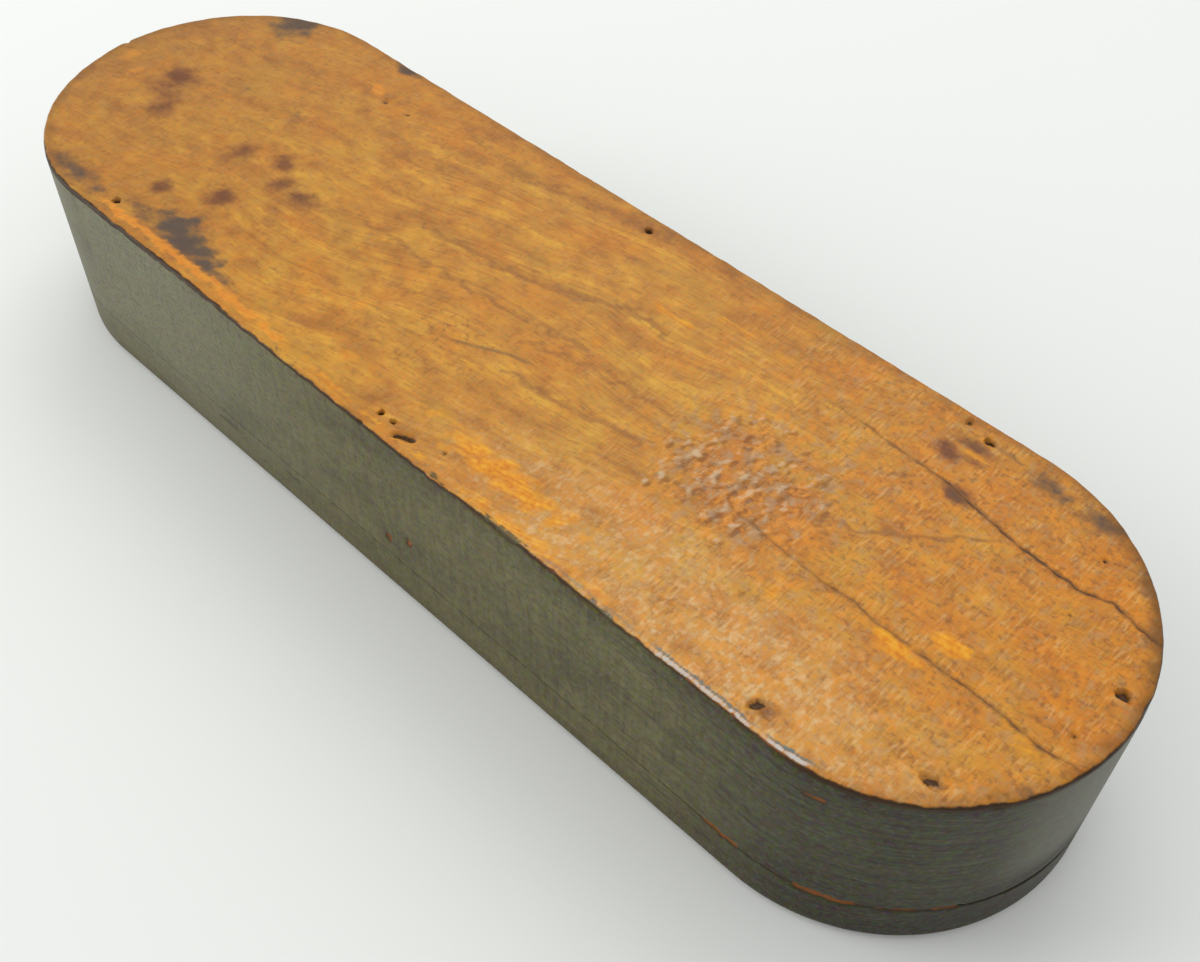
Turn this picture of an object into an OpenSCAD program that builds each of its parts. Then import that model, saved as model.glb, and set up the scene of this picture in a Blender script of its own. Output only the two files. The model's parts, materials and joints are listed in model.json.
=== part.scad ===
// Hinged wooden pencil box with straight sides and round ends.
// A shallow lower section lies on the table, and a deep upper section swings up on two small
// hinges at the back. Each section is a board nailed onto two straight rails and two half-round
// end blocks. Origin: middle of the bottom face. X runs along the box, the hinges are at +Y.

/* [Box] */
// Length over the two round ends
box_l = 212; // [160:1:280]
// Width across the straight sides
box_w = 64; // [50:1:90]
// Height of the lower section, from the table to the parting line
lower_h = 9.4; // [8.6:0.2:16]
// Height of the upper section, from the parting line to the top face
upper_h = 27.8; // [21:0.2:50]

/* [Timber] */
// Thickness of the rails and end blocks
wall = 7; // [5:0.25:10]
// Thickness of the varnished top board
top_board_t = 4; // [3:0.25:7]
// Thickness of the lower board
lower_board_t = 4; // [3:0.25:4.5]
// Rounding of the lower board's bottom edge
foot_r = 2; // [0.5:0.25:2.5]
// Rounding worn on the top board's upper edge
top_edge_r = 0.8; // [0.2:0.1:2]

/* [Parting line] */
// Gap between the two sections along the front
front_gap = 0.15; // [0.1:0.05:0.4]
// Distance from the front face to where the gap starts to open
gap_start = 11; // [0:1:20]
// Distance over which the gap opens to the room that the hinge leaves need
gap_run = 15; // [5:1:25]

/* [Board nails] */
// Shank diameter
nail_d = 1.4; // [1:0.1:2]
// Head diameter
nail_head_d = 2.2; // [2:0.1:3]
// Head thickness
nail_head_t = 0.6; // [0.4:0.1:1]
// Depth of the heads below the face of the board
nail_sink = 0.8; // [0.3:0.1:1.2]
// Length of the top board's nails
top_nail_l = 16; // [10:0.5:19]
// Front rail's nails: from the left rail end, from the middle, from the right rail end
front_nail_place = [7, 0.5, 2]; // [0:0.5:12]
// Back rail's nails: from the left rail end, from the middle, from the right rail end
back_nail_place = [12, 0.5, 7.5]; // [0:0.5:14]
// End blocks' nails: angles from the box's long axis
end_nail_angle = [-50, 9, 66]; // [-75:1:75]

/* [Hinges] */
// Distance from the middle of a hinge to the end of the back rail
hinge_inset = 26; // [20:1:45]
// Length of a hinge along the box
hinge_l = 18; // [14:1:28]
// Wood left between a leaf and the inside of the wall
leaf_margin = 1; // [0.5:0.25:2]
// Thickness of the hinge metal
leaf_t = 0.5; // [0.4:0.05:0.7]
// Gap between the two leaves when the box is shut
leaf_gap = 0.2; // [0.1:0.05:0.4]
// Pin diameter
pin_d = 1.2; // [1:0.1:2]
// Diameter of the pin's riveted ends
pin_head_d = 1.9; // [1.6:0.1:2.6]
// Thickness of the pin's riveted ends
pin_head_t = 0.4; // [0.2:0.1:0.8]
// Distance between a leaf's two nails
leaf_nail_spacing = 10; // [8:0.5:12]
// Shank diameter of the leaf nails
leaf_nail_d = 1; // [0.8:0.1:1.3]
// Head diameter of the leaf nails, which lie flush in the leaf
leaf_nail_head_d = 1.8; // [1.6:0.1:2.4]

/* [Clearances] */
// Between a nail and its hole, on the radius
nail_clear = 0.05; // [0.02:0.01:0.1]
// Between the pin and the knuckles, on the radius
pin_clear = 0.05; // [0.02:0.01:0.1]
// Between the knuckles and what they turn past
knuckle_clear = 0.35; // [0.3:0.05:0.6]
// Wood left beyond a nail's point
tip_cover = 0.8; // [0.5:0.1:1.5]

/* [Hidden] */
$fn = 96;

// Cutting solids run past the faces that they cut by this much
past = 1;

// The straight stretch between the two round ends
straight = box_l - box_w;
end_r = box_w / 2;

// The room for the two leaves sets the gap along the back
back_gap = 2 * leaf_t + leaf_gap;
upper_z = lower_h + front_gap;
lower_back_z = upper_z - back_gap;
top_z = upper_z + upper_h;
lower_rail_h = lower_h - lower_board_t;
upper_rail_h = upper_h - top_board_t;

// Nails stand in the middle of the wall
nail_line = end_r - wall / 2;
front_nails = rail_places(front_nail_place, -nail_line);
back_nails = rail_places(back_nail_place, nail_line);
right_nails = [for (a = end_nail_angle) [straight / 2 + nail_line * cos(a), nail_line * sin(a)]];
left_nails = [for (p = right_nails) [-p.x, p.y]];
all_nails = concat(front_nails, back_nails, right_nails, left_nails);
nail_tip_l = nail_d;
lower_nail_l = lower_back_z - nail_sink - tip_cover;

// Hinge: the pin lies outside the back face, halfway between the leaves
hinge_x = straight / 2 - hinge_inset;
knuckle_r = pin_d / 2 + pin_clear + leaf_t;
axis_y = end_r + knuckle_clear + knuckle_r;
axis_z = upper_z - back_gap / 2;
knuckle_l = hinge_l / 3;
leaf_y = end_r - wall + leaf_margin;
leaf_nail_y = end_r - (wall - leaf_margin) / 2;
leaf_nail_l = lower_back_z + leaf_t - lower_board_t - tip_cover;
leaf_nail_xs = [
    for (side = [-1, 1])
        for (end = [-1, 1])
            side * hinge_x + end * leaf_nail_spacing / 2
];

// Colours
paint = [0.37, 0.38, 0.32];
varnish = [0.76, 0.5, 0.2];
iron = [0.22, 0.18, 0.15];
brass = [0.6, 0.5, 0.28];

// Three places along a rail at the given y
function rail_places(place, y) = [
    [-straight / 2 + place[0], y],
    [place[1], y],
    [straight / 2 - place[2], y]
];

// Half section of a board, from its middle out, with a rounded upper edge
module board_half_section(thickness, edge_r) {
    square([end_r, thickness - edge_r]);
    square([end_r - edge_r, thickness]);
    translate([end_r - edge_r, thickness - edge_r])
        circle(edge_r);
}

// Board with straight sides and round ends, its upper edge rounded
module round_ended_board(thickness, edge_r) {
    for (side = [-1, 1])
        translate([side * straight / 2, 0, 0])
            rotate_extrude()
                board_half_section(thickness, edge_r);
    rotate([90, 0, 90])
        linear_extrude(straight, center = true)
            for (flip = [0, 1])
                mirror([flip, 0])
                    board_half_section(thickness, edge_r);
}

// Straight rail of the given height, side -1 for the front and 1 for the back
module rail(height, side) {
    translate([-straight / 2, side * (end_r - wall / 2) - wall / 2, 0])
        cube([straight, wall, height]);
}

// Half-round end block of the given height, side -1 for the left and 1 for the right
module end_block(height, side) {
    mirror([side < 0 ? 1 : 0, 0, 0])
        translate([straight / 2, 0, 0])
            difference() {
                cylinder(h = height, r = end_r);
                translate([0, 0, -past])
                    cylinder(h = height + 2 * past, r = end_r - wall);
                translate([-box_w, -box_w, -past])
                    cube([box_w, 2 * box_w, height + 2 * past]);
            }
}

// Wood taken off the lower section's upper edge towards the hinges
module parting_cut() {
    cut_y = -end_r + gap_start;
    rotate([90, 0, 90])
        linear_extrude(box_l + 2 * past, center = true)
            polygon([
                [cut_y, lower_h],
                [cut_y + gap_run, lower_back_z],
                [end_r + past, lower_back_z],
                [end_r + past, lower_h + past],
                [cut_y, lower_h + past]
            ]);
}

// Nail with its head's upper face at z = 0 and its point down
module nail(length) {
    translate([0, 0, -nail_head_t])
        cylinder(h = nail_head_t, d = nail_head_d);
    translate([0, 0, nail_tip_l - length])
        cylinder(h = length - nail_tip_l, d = nail_d);
    translate([0, 0, -length])
        cylinder(h = nail_tip_l, d1 = nail_d / 4, d2 = nail_d);
}

// Hole for such a nail, open above the head
module nail_hole(length) {
    translate([0, 0, -nail_head_t])
        cylinder(h = nail_head_t + nail_sink + past, d = nail_head_d + 2 * nail_clear);
    translate([0, 0, -length - nail_clear])
        cylinder(h = length, d = nail_d + 2 * nail_clear);
}

// Children at each place, heads sunk in the top board
module at_top_nails(places) {
    for (p = places)
        translate([p.x, p.y, top_z - nail_sink])
            children();
}

// Children at each place, heads sunk in the underside of the lower board
module at_lower_nails(places) {
    for (p = places)
        translate([p.x, p.y, nail_sink])
            mirror([0, 0, 1])
                children();
}

// Leaf nail with a conical head that ends at z = 0 and its shank down
module leaf_nail() {
    translate([0, 0, -leaf_t])
        cylinder(h = leaf_t, d1 = leaf_nail_d, d2 = leaf_nail_head_d);
    translate([0, 0, -leaf_nail_l])
        cylinder(h = leaf_nail_l - leaf_t, d = leaf_nail_d);
}

// Hole for a leaf nail, through the leaf and into the rail
module leaf_nail_hole() {
    translate([0, 0, -leaf_t])
        cylinder(h = leaf_t, d1 = leaf_nail_d + 2 * nail_clear, d2 = leaf_nail_head_d + 2 * nail_clear);
    translate([0, 0, -leaf_nail_l - nail_clear])
        cylinder(h = leaf_nail_l, d = leaf_nail_d + 2 * nail_clear);
}

// Children at the lower leaves' nails
module at_lower_leaf_nails() {
    for (x = leaf_nail_xs)
        translate([x, leaf_nail_y, lower_back_z + leaf_t])
            children();
}

// Children at the upper leaves' nails, pointing up
module at_upper_leaf_nails() {
    for (x = leaf_nail_xs)
        translate([x, leaf_nail_y, upper_z - leaf_t])
            mirror([0, 0, 1])
                children();
}

// One knuckle, its middle at x = 0 on the hinge axis
module knuckle(length) {
    rotate([0, 90, 0])
        cylinder(h = length, r = knuckle_r, center = true);
}

// Leaf with the plate's lower face at plate_z and a knuckle at each of the given places.
// The plate is cut back round the knuckles of the other leaf, at other_places.
module leaf(x, plate_z, places, other_places) {
    bore_r = pin_d / 2 + pin_clear;
    notch_l = knuckle_l + knuckle_clear;
    notch_y = axis_y - knuckle_r - knuckle_clear;
    translate([x, 0, 0])
        difference() {
            union() {
                translate([-hinge_l / 2, leaf_y, plate_z])
                    cube([hinge_l, axis_y - leaf_y, leaf_t]);
                for (place = places)
                    translate([place, axis_y, axis_z])
                        knuckle(knuckle_l - knuckle_clear);
            }
            translate([0, axis_y, axis_z])
                rotate([0, 90, 0])
                    cylinder(h = hinge_l + 2 * past, r = bore_r, center = true);
            for (place = other_places)
                translate([place - notch_l / 2, notch_y, plate_z - past])
                    cube([notch_l, axis_y + past - notch_y, leaf_t + 2 * past]);
        }
}

// The lower leaf has the two outer knuckles
module lower_leaf(side) {
    color(brass)
        difference() {
            leaf(side * hinge_x, lower_back_z, [-knuckle_l, knuckle_l], [0]);
            at_lower_leaf_nails()
                leaf_nail_hole();
        }
}

// The upper leaf has the middle knuckle
module upper_leaf(side) {
    color(brass)
        difference() {
            leaf(side * hinge_x, upper_z - leaf_t, [0], [-knuckle_l, knuckle_l]);
            at_upper_leaf_nails()
                leaf_nail_hole();
        }
}

// Pin with riveted ends just outside the outer knuckles
module hinge_pin(side) {
    color(brass)
        translate([side * hinge_x, axis_y, axis_z])
            rotate([0, 90, 0]) {
                cylinder(h = hinge_l, d = pin_d, center = true);
                for (end = [-1, 1])
                    translate([0, 0, end * (hinge_l + pin_head_t) / 2])
                        cylinder(h = pin_head_t, d = pin_head_d, center = true);
            }
}

module lower_board() {
    color(paint)
        difference() {
            translate([0, 0, lower_board_t])
                mirror([0, 0, 1])
                    round_ended_board(lower_board_t, foot_r);
            at_lower_nails(all_nails)
                nail_hole(lower_nail_l);
        }
}

module lower_front_rail() {
    color(paint)
        difference() {
            translate([0, 0, lower_board_t])
                rail(lower_rail_h, -1);
            at_lower_nails(front_nails)
                nail_hole(lower_nail_l);
        }
}

module lower_back_rail() {
    color(paint)
        difference() {
            translate([0, 0, lower_board_t])
                rail(lower_rail_h, 1);
            parting_cut();
            at_lower_nails(back_nails)
                nail_hole(lower_nail_l);
            at_lower_leaf_nails()
                leaf_nail_hole();
        }
}

module lower_end(side, places) {
    color(paint)
        difference() {
            translate([0, 0, lower_board_t])
                end_block(lower_rail_h, side);
            parting_cut();
            at_lower_nails(places)
                nail_hole(lower_nail_l);
        }
}

module lower_board_nails() {
    color(iron)
        at_lower_nails(all_nails)
            nail(lower_nail_l);
}

module lower_leaf_nails() {
    color(brass)
        at_lower_leaf_nails()
            leaf_nail();
}

module top_board() {
    color(varnish)
        difference() {
            translate([0, 0, top_z - top_board_t])
                round_ended_board(top_board_t, top_edge_r);
            at_top_nails(all_nails)
                nail_hole(top_nail_l);
        }
}

module upper_front_rail() {
    color(paint)
        difference() {
            translate([0, 0, upper_z])
                rail(upper_rail_h, -1);
            at_top_nails(front_nails)
                nail_hole(top_nail_l);
        }
}

module upper_back_rail() {
    color(paint)
        difference() {
            translate([0, 0, upper_z])
                rail(upper_rail_h, 1);
            at_top_nails(back_nails)
                nail_hole(top_nail_l);
            at_upper_leaf_nails()
                leaf_nail_hole();
        }
}

module upper_end(side, places) {
    color(paint)
        difference() {
            translate([0, 0, upper_z])
                end_block(upper_rail_h, side);
            at_top_nails(places)
                nail_hole(top_nail_l);
        }
}

module top_board_nails() {
    color(iron)
        at_top_nails(all_nails)
            nail(top_nail_l);
}

module upper_leaf_nails() {
    color(brass)
        at_upper_leaf_nails()
            leaf_nail();
}

lower_board();
lower_front_rail();
lower_back_rail();
lower_end(-1, left_nails);  // lower_left_end
lower_end(1, right_nails);  // lower_right_end
lower_board_nails();
lower_leaf(-1);  // left_hinge_lower_leaf
lower_leaf(1);  // right_hinge_lower_leaf
hinge_pin(-1);  // left_hinge_pin
hinge_pin(1);  // right_hinge_pin
lower_leaf_nails();
top_board();
upper_front_rail();
upper_back_rail();
upper_end(-1, left_nails);  // upper_left_end
upper_end(1, right_nails);  // upper_right_end
top_board_nails();
upper_leaf(-1);  // left_hinge_upper_leaf
upper_leaf(1);  // right_hinge_upper_leaf
upper_leaf_nails();
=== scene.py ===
# %% [markdown]
# # A worn pencil box
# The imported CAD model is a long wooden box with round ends: a shallow tray, and a deep shell with
# a varnished board that swings up on two hinges. This lesson gives each of its pieces the surface
# of the real one. The CAD pieces fix every place and size, so the lesson starts by loading them.

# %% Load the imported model
import json
import math

import bpy
import numpy as np
from mathutils import Matrix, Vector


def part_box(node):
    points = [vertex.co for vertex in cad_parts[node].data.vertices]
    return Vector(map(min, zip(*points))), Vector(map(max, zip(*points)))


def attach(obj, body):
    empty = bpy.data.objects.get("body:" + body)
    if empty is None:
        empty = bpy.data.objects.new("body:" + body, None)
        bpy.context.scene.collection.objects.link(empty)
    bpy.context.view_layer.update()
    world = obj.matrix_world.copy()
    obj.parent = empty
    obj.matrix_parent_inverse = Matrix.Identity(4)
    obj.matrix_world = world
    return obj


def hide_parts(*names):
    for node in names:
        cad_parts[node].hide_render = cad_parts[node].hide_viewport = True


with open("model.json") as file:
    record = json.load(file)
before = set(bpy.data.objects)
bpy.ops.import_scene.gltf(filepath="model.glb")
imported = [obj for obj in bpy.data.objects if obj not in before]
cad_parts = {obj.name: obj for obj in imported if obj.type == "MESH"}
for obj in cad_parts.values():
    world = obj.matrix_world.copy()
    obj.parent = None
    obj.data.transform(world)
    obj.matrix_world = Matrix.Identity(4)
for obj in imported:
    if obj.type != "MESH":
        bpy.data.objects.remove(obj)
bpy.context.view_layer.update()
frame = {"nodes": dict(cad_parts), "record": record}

TO_MM = 1000.0

# %% [markdown]
# All shapes below are worked out in millimetres, as a joiner would measure them. The sizes are
# read from the CAD pieces and not typed again, so the dressed pieces fit the solids exactly.

# %% Measure the pieces


def node_box(name):
    """Lowest and highest corner of a CAD piece, in millimetres."""
    low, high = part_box(name)
    return np.array(low) * TO_MM, np.array(high) * TO_MM


board_low, board_high = node_box("top_board")
rail_low, rail_high = node_box("upper_front_rail")
END_R = board_high[1]
HALF = board_high[0] - END_R
END_ARC = math.pi * END_R
TOP_Z, BOARD_Z = board_high[2], board_low[2]
UPPER_Z = rail_low[2]
INNER_R = END_R - (rail_high[1] - rail_low[1])
FLOOR_Z = node_box("lower_board")[1][2]
LOWER_H = node_box("lower_front_rail")[1][2]
LOWER_BACK_Z = node_box("lower_back_rail")[1][2]
print("end radius", round(END_R, 2), "half of the straight", round(HALF, 2),
      "top", round(TOP_Z, 2))

# %% [markdown]
# The camera stands where the picture was taken. Its place, its lens and its small roll come from
# fitting the outline of the varnished board to the picture, so nothing is shifted or cropped.

# %% Camera
CAMERA_MM = (119.47, -109.75, 186.42)
LOOK_AZIMUTH, LOOK_DOWN, ROLL = (math.radians(a) for a in (42.868, 49.292, 1.45))
FOCAL_PX, IMAGE_W, SENSOR_W = 1419.75, 1200, 36
CLIP_NEAR, CLIP_FAR = 0.005, 20


def set_pose(thing, right, up, back, place):
    """Puts an object at place in metres, with its own X, Y and Z along right, up and back."""
    pose = np.eye(4)
    pose[:3, :3] = np.column_stack([right, up, back])
    pose[:3, 3] = place
    thing.matrix_world = Matrix(pose.tolist())
    bpy.context.scene.collection.objects.link(thing)


def unit(vector):
    """A vector of length 1 in the same direction."""
    return np.array(vector) / np.linalg.norm(vector)


back = np.array([math.sin(LOOK_AZIMUTH) * math.cos(LOOK_DOWN),
                 -math.cos(LOOK_AZIMUTH) * math.cos(LOOK_DOWN),
                 math.sin(LOOK_DOWN)])
level = unit(np.cross((0, 0, 1), back))
rise = np.cross(back, level)
camera = bpy.data.objects.new("camera", bpy.data.cameras.new("camera"))
camera.data.sensor_width = SENSOR_W
camera.data.lens = SENSOR_W * FOCAL_PX / IMAGE_W
camera.data.clip_start, camera.data.clip_end = CLIP_NEAR, CLIP_FAR
set_pose(camera, level * math.cos(ROLL) + rise * math.sin(ROLL),
         rise * math.cos(ROLL) - level * math.sin(ROLL), back, np.array(CAMERA_MM) / TO_MM)
bpy.context.scene.camera = camera
print("lens", round(camera.data.lens, 2), "mm")

# %% [markdown]
# Every material is a small graph of nodes. One helper adds a node with its settings and links, and
# one function turns the hex colours that designers use into the linear values that a renderer
# needs.

# %% Helpers for materials


def hex_colour(code):
    """sRGB hex to linear: c / 12.92 for dark channels, ((c + 0.055) / 1.055) to the 2.4 above."""
    c = np.array([int(code[i:i + 2], 16) for i in (0, 2, 4)]) / 255
    linear = np.where(c <= 0.04045, c / 12.92, ((c + 0.055) / 1.055) ** 2.4)
    return (*linear.tolist(), 1.0)


def put(tree, kind, inputs=None, out=None, stops=(), **settings):
    """Adds one node with its settings and inputs, values or sockets, and returns one output."""
    made = tree.nodes.new("ShaderNode" + kind)
    for name, value in settings.items():
        setattr(made, name, value)
    for at, (place, code) in enumerate(stops):
        ramp = made.color_ramp.elements
        stop = ramp[at] if at < len(ramp) else ramp.new(place)
        stop.position, stop.color = place, hex_colour(code)
    for key, value in (inputs or {}).items():
        socket = made.inputs[key] if isinstance(key, int) else next(
            i for i in made.inputs if i.enabled and i.name == key)
        if isinstance(value, bpy.types.NodeSocket):
            tree.links.new(value, socket)
        else:
            socket.default_value = value
    if out is not None:
        return made.outputs[out]
    return next((o for o in made.outputs if o.enabled), None)


def new_material(name):
    """An empty node material and its tree."""
    material = bpy.data.materials.new(name)
    material.use_nodes = True
    material.node_tree.nodes.clear()
    return material, material.node_tree


print("white is", hex_colour("FFFFFF"))

# %% [markdown]
# The box lay on a pale table in soft daylight from a window at the back left. A wide area lamp
# stands for the window, a weaker one for the light from the left, and the world for the room.
# The levels add up to a plain white light, so a colour renders about as it is written.

# %% Lamps and world
ROOM_LEVEL = 0.765
# Name, place and aim in metres, size in metres, watts
LAMPS = [("window", (-0.26, 0.46, 0.78), (0.02, -0.01, 0.03), 0.62, 2.0),
         ("left_light", (-0.75, -0.55, 0.50), (-0.02, -0.02, 0.02), 0.60, 3.9)]

for name, place, aim, size, watts in LAMPS:
    lamp = bpy.data.lights.new(name, "AREA")
    lamp.size, lamp.energy = size, watts
    away = unit(np.subtract(place, aim))
    side = unit(np.cross((0, 0, 1), away))
    set_pose(bpy.data.objects.new(name, lamp), side, np.cross(away, side), away, place)

world = bpy.data.worlds.new("room")
world.use_nodes = True
room = world.node_tree
room.nodes.clear()
seen = put(room, "LightPath", out="Is Camera Ray")
rays = seen.node.outputs
seen = put(room, "Math", {0: seen, 1: rays["Is Glossy Ray"]}, operation="MAXIMUM")
seen = put(room, "Math", {0: seen, 1: rays["Is Transmission Ray"]}, operation="MAXIMUM")
light = put(room, "Background", {"Color": hex_colour("FFFFFF"), "Strength": ROOM_LEVEL})
backdrop = put(room, "Background", {"Color": hex_colour("E6E8E4"), "Strength": 1.0})
both = put(room, "MixShader", {0: seen, 1: light, 2: backdrop})
put(room, "OutputWorld", {"Surface": both})
bpy.context.scene.world = world
bpy.context.scene.view_settings.view_transform = "Standard"
print("lamps:", [row[0] for row in LAMPS])

# %% [markdown]
# The floor is one plain pale sheet just under the box. It takes the soft shadow and throws light
# back onto the painted sides, as the pale table did.

# %% Floor
FLOOR_SIZE, FLOOR_DROP = 6.0, 0.00005
floor_material, tree = new_material("pale_matt_floor")
shader = put(tree, "BsdfPrincipled", {"Base Color": hex_colour("EAECE9"), "Roughness": 0.9})
put(tree, "OutputMaterial", {"Surface": shader})
corner = FLOOR_SIZE / 2 * np.array([[-1, -1], [1, -1], [1, 1], [-1, 1]])
floor_mesh = bpy.data.meshes.new("floor")
floor_mesh.from_pydata(np.c_[corner, np.full(4, -FLOOR_DROP)].tolist(), [], [(0, 1, 2, 3)])
floor_mesh.materials.append(floor_material)
floor = bpy.data.objects.new("floor", floor_mesh)
bpy.context.scene.collection.objects.link(floor)
print("floor", FLOOR_SIZE, "m")

# %% [markdown]
# Seen from above, the box is a straight line with a constant distance round it, like a running
# track. Each point then has two simple numbers: how far along the edge it is, and how far from
# the middle line. All the wooden pieces are grids over these two and a height.

# %% Plan of the box


def outline(s, rho):
    """Plan point: a foot on the middle line plus rho times the outward direction (sin t, -cos t).
    s is the arc length on the outer edge from the middle of the front. On the straight sides the
    foot moves with s, and round each end t grows by s / END_R up to half a turn."""
    t = (np.clip((s - HALF) / END_R, 0, np.pi)
         + np.clip((s - 3 * HALF - END_ARC) / END_R, 0, np.pi))
    foot = np.clip(s, -HALF, HALF) - np.clip(s - HALF - END_ARC, 0, 2 * HALF)
    return foot + rho * np.sin(t), -rho * np.cos(t)


def spaced(runs):
    """Places along a line: each run (start, end, step) goes on from the one before it."""
    parts = [np.linspace(start, end, round((end - start) / step) + 1)[:-1]
             for start, end, step in runs]
    return np.concatenate(parts + [[runs[-1][1]]])


def stations(side, right_step, left_step):
    """Arc lengths all round the box from places along its side. Front and back share the places,
    so that they meet on the middle line."""
    right = np.linspace(0, END_ARC, round(END_ARC / right_step), endpoint=False)
    left = np.linspace(0, END_ARC, round(END_ARC / left_step), endpoint=False)
    return np.concatenate([side[:-1], right + HALF, 2 * HALF + END_ARC - side[:0:-1],
                           left + 3 * HALF + END_ARC])


def grid_faces(rows, columns, close_rows=False, close_columns=False):
    """Corner numbers of the quads of a grid whose points are numbered row by row."""
    i = np.arange(rows if close_rows else rows - 1)[:, None]
    j = np.arange(columns if close_columns else columns - 1)[None, :]
    i, j = (a.ravel() for a in np.broadcast_arrays(i, j))
    next_i, next_j = (i + 1) % rows, (j + 1) % columns
    return np.stack([i * columns + j, next_i * columns + j,
                     next_i * columns + next_j, i * columns + next_j], axis=1)


ROUND = 4 * HALF + 2 * END_ARC
print("edge length round the box", round(ROUND, 1), "mm")

# %% [markdown]
# Wear is never even, so the shapes need noise. A sum of cosine waves is enough here: it is smooth,
# it has a size in millimetres, and a seed gives the same result on each run.

# %% Noise, blots and lines
WAVES = 12


def smooth(start, end, value):
    """0 at start and 1 at end, with the cubic 3t^2 - 2t^3 between."""
    t = np.clip((value - start) / (end - start), 0, 1)
    return t * t * (3 - 2 * t)


def ripple(x, y, size, seed):
    """Noise of about -1 to 1: the sum of cosine waves in seeded directions, with wavelengths
    from 0.7 to 1.8 times size, over its usual largest value."""
    draw = np.random.default_rng(seed)
    angles, phases = draw.uniform(0, np.pi, WAVES), draw.uniform(0, 2 * np.pi, WAVES)
    lengths = size * draw.uniform(0.7, 1.8, WAVES)
    total = 0
    for angle, phase, length in zip(angles, phases, lengths):
        along = x * np.cos(angle) + y * np.sin(angle)
        total = total + np.cos(2 * np.pi * along / length + phase)
    return total / np.sqrt(1.2 * WAVES)


def blots(x, y, rows, ragged, soft=0.35):
    """The strongest of several ellipses (x, y, half length, half width, strength). Each is full
    inside and falls to 0 across its border, which ragged pushes in and out."""
    found = np.zeros(np.shape(x))
    for cx, cy, rx, ry, strength in rows:
        reach = np.hypot((x - cx) / rx, (y - cy) / ry) + 0.3 * ragged
        found = np.maximum(found, strength * smooth(1 + soft, 1 - soft, reach))
    return found


def above_line(x, y, line):
    """Height of a point above a line given as corners from left to right."""
    corners = np.array(line, float)
    return y - np.interp(x, corners[:, 0], corners[:, 1])


def strokes(x, y, lines, fade=2.5):
    """The strongest of several drawn lines (width, strength, corners): exp(-(d / width)^2) of the
    height d above the line, faded over a short run at its two ends."""
    found = np.zeros(np.shape(x))
    for width, strength, line in lines:
        first, last = line[0][0], line[-1][0]
        ends = smooth(first - fade, first + fade, x) * smooth(last + fade, last - fade, x)
        height = above_line(x, y, line)
        found = np.maximum(found, strength * ends * np.exp(-(height / width) ** 2))
    return found


print("noise at the origin:", round(float(ripple(0.0, 0.0, 5, 1)), 3))

# %% [markdown]
# A mesh helper turns a grid into a piece. It merges points that share a place, which closes the
# seam on the middle line, turns the faces outwards by the sign of the volume, stores the numbers
# that the materials read, and lets the piece ride on its body in place of the CAD piece.

# %% Make a piece from a grid
SHARP_ANGLE = math.radians(38)
made_pieces = []


def add_piece(name, node, points, faces, marks, material):
    """Merges equal points, drops collapsed corners, and makes the mesh in metres. The volume is
    the sum over triangles of p . (q x r) / 6, and a negative one means that faces look inwards."""
    body = next(b for b, n in frame["record"]["behaviour"]["bodies"].items() if node in n)
    _, first, number = np.unique(np.round(points, 4), axis=0, return_index=True,
                                 return_inverse=True)
    corners = number.reshape(-1)[faces]
    kept = corners != np.roll(corners, -1, axis=1)
    quads = corners[kept.sum(axis=1) == 4]
    thin = kept.sum(axis=1) == 3
    triangles = corners[thin][kept[thin]].reshape(-1, 3)
    places = points[first] / TO_MM
    fans = np.concatenate([quads[:, [0, 1, 2]], quads[:, [0, 2, 3]], triangles])
    p, q, r = (places[fans[:, k]] for k in range(3))
    volume = float(np.einsum("ij,ij->", p, np.cross(q, r))) / 6
    if volume < 0:
        quads, triangles = quads[:, ::-1], triangles[:, ::-1]
    mesh = bpy.data.meshes.new(name)
    mesh.from_pydata(places.tolist(), [], quads.tolist() + triangles.tolist())
    for mark, values in marks.items():
        kind, field = ("FLOAT_VECTOR", "vector") if values.ndim == 2 else ("FLOAT", "value")
        layer = mesh.attributes.new(mark, kind, "POINT")
        layer.data.foreach_set(field, values[first].astype(np.float32).ravel())
    mesh.shade_smooth()
    mesh.set_sharp_from_angle(angle=SHARP_ANGLE)
    mesh.materials.append(material)
    piece = bpy.data.objects.new(name, mesh)
    bpy.context.scene.collection.objects.link(piece)
    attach(piece, body)
    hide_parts(node)
    made_pieces.append(piece)
    print(name, "faces", len(mesh.polygons), "volume", round(abs(volume) * 1e6, 2), "cm3")


print("sharp above", round(math.degrees(SHARP_ANGLE)), "degrees")

# %% [markdown]
# The wood itself comes first, because every wooden piece shows it somewhere. It is a pale
# hardwood sawn along the trunk. The eye sees growth bands a few millimetres wide, fibres finer
# than a millimetre, short dark pores, and fine saw marks across them. Each is noise stretched to
# its own size. The pattern reads a grain attribute in millimetres, whose first number runs along
# the fibres, so that each piece can have its own direction.

# %% Wood pattern
GRAIN_LEAN = math.radians(9)
BEND_MM = 8.0


def patterns(tree, vector, sizes):
    """Noise from 0 to 1 for each name. A vector in millimetres is divided by the pattern's size
    along and across, and detail is how many finer waves are added."""
    found = {}
    for name, (along, across, detail) in sizes.items():
        share = put(tree, "VectorMath", {0: vector, 1: (1 / along, 1 / across, 1 / across)},
                    operation="MULTIPLY")
        found[name] = put(tree, "TexNoise", {"Vector": share, "Scale": 1.0, "Detail": detail})
    return found


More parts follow.
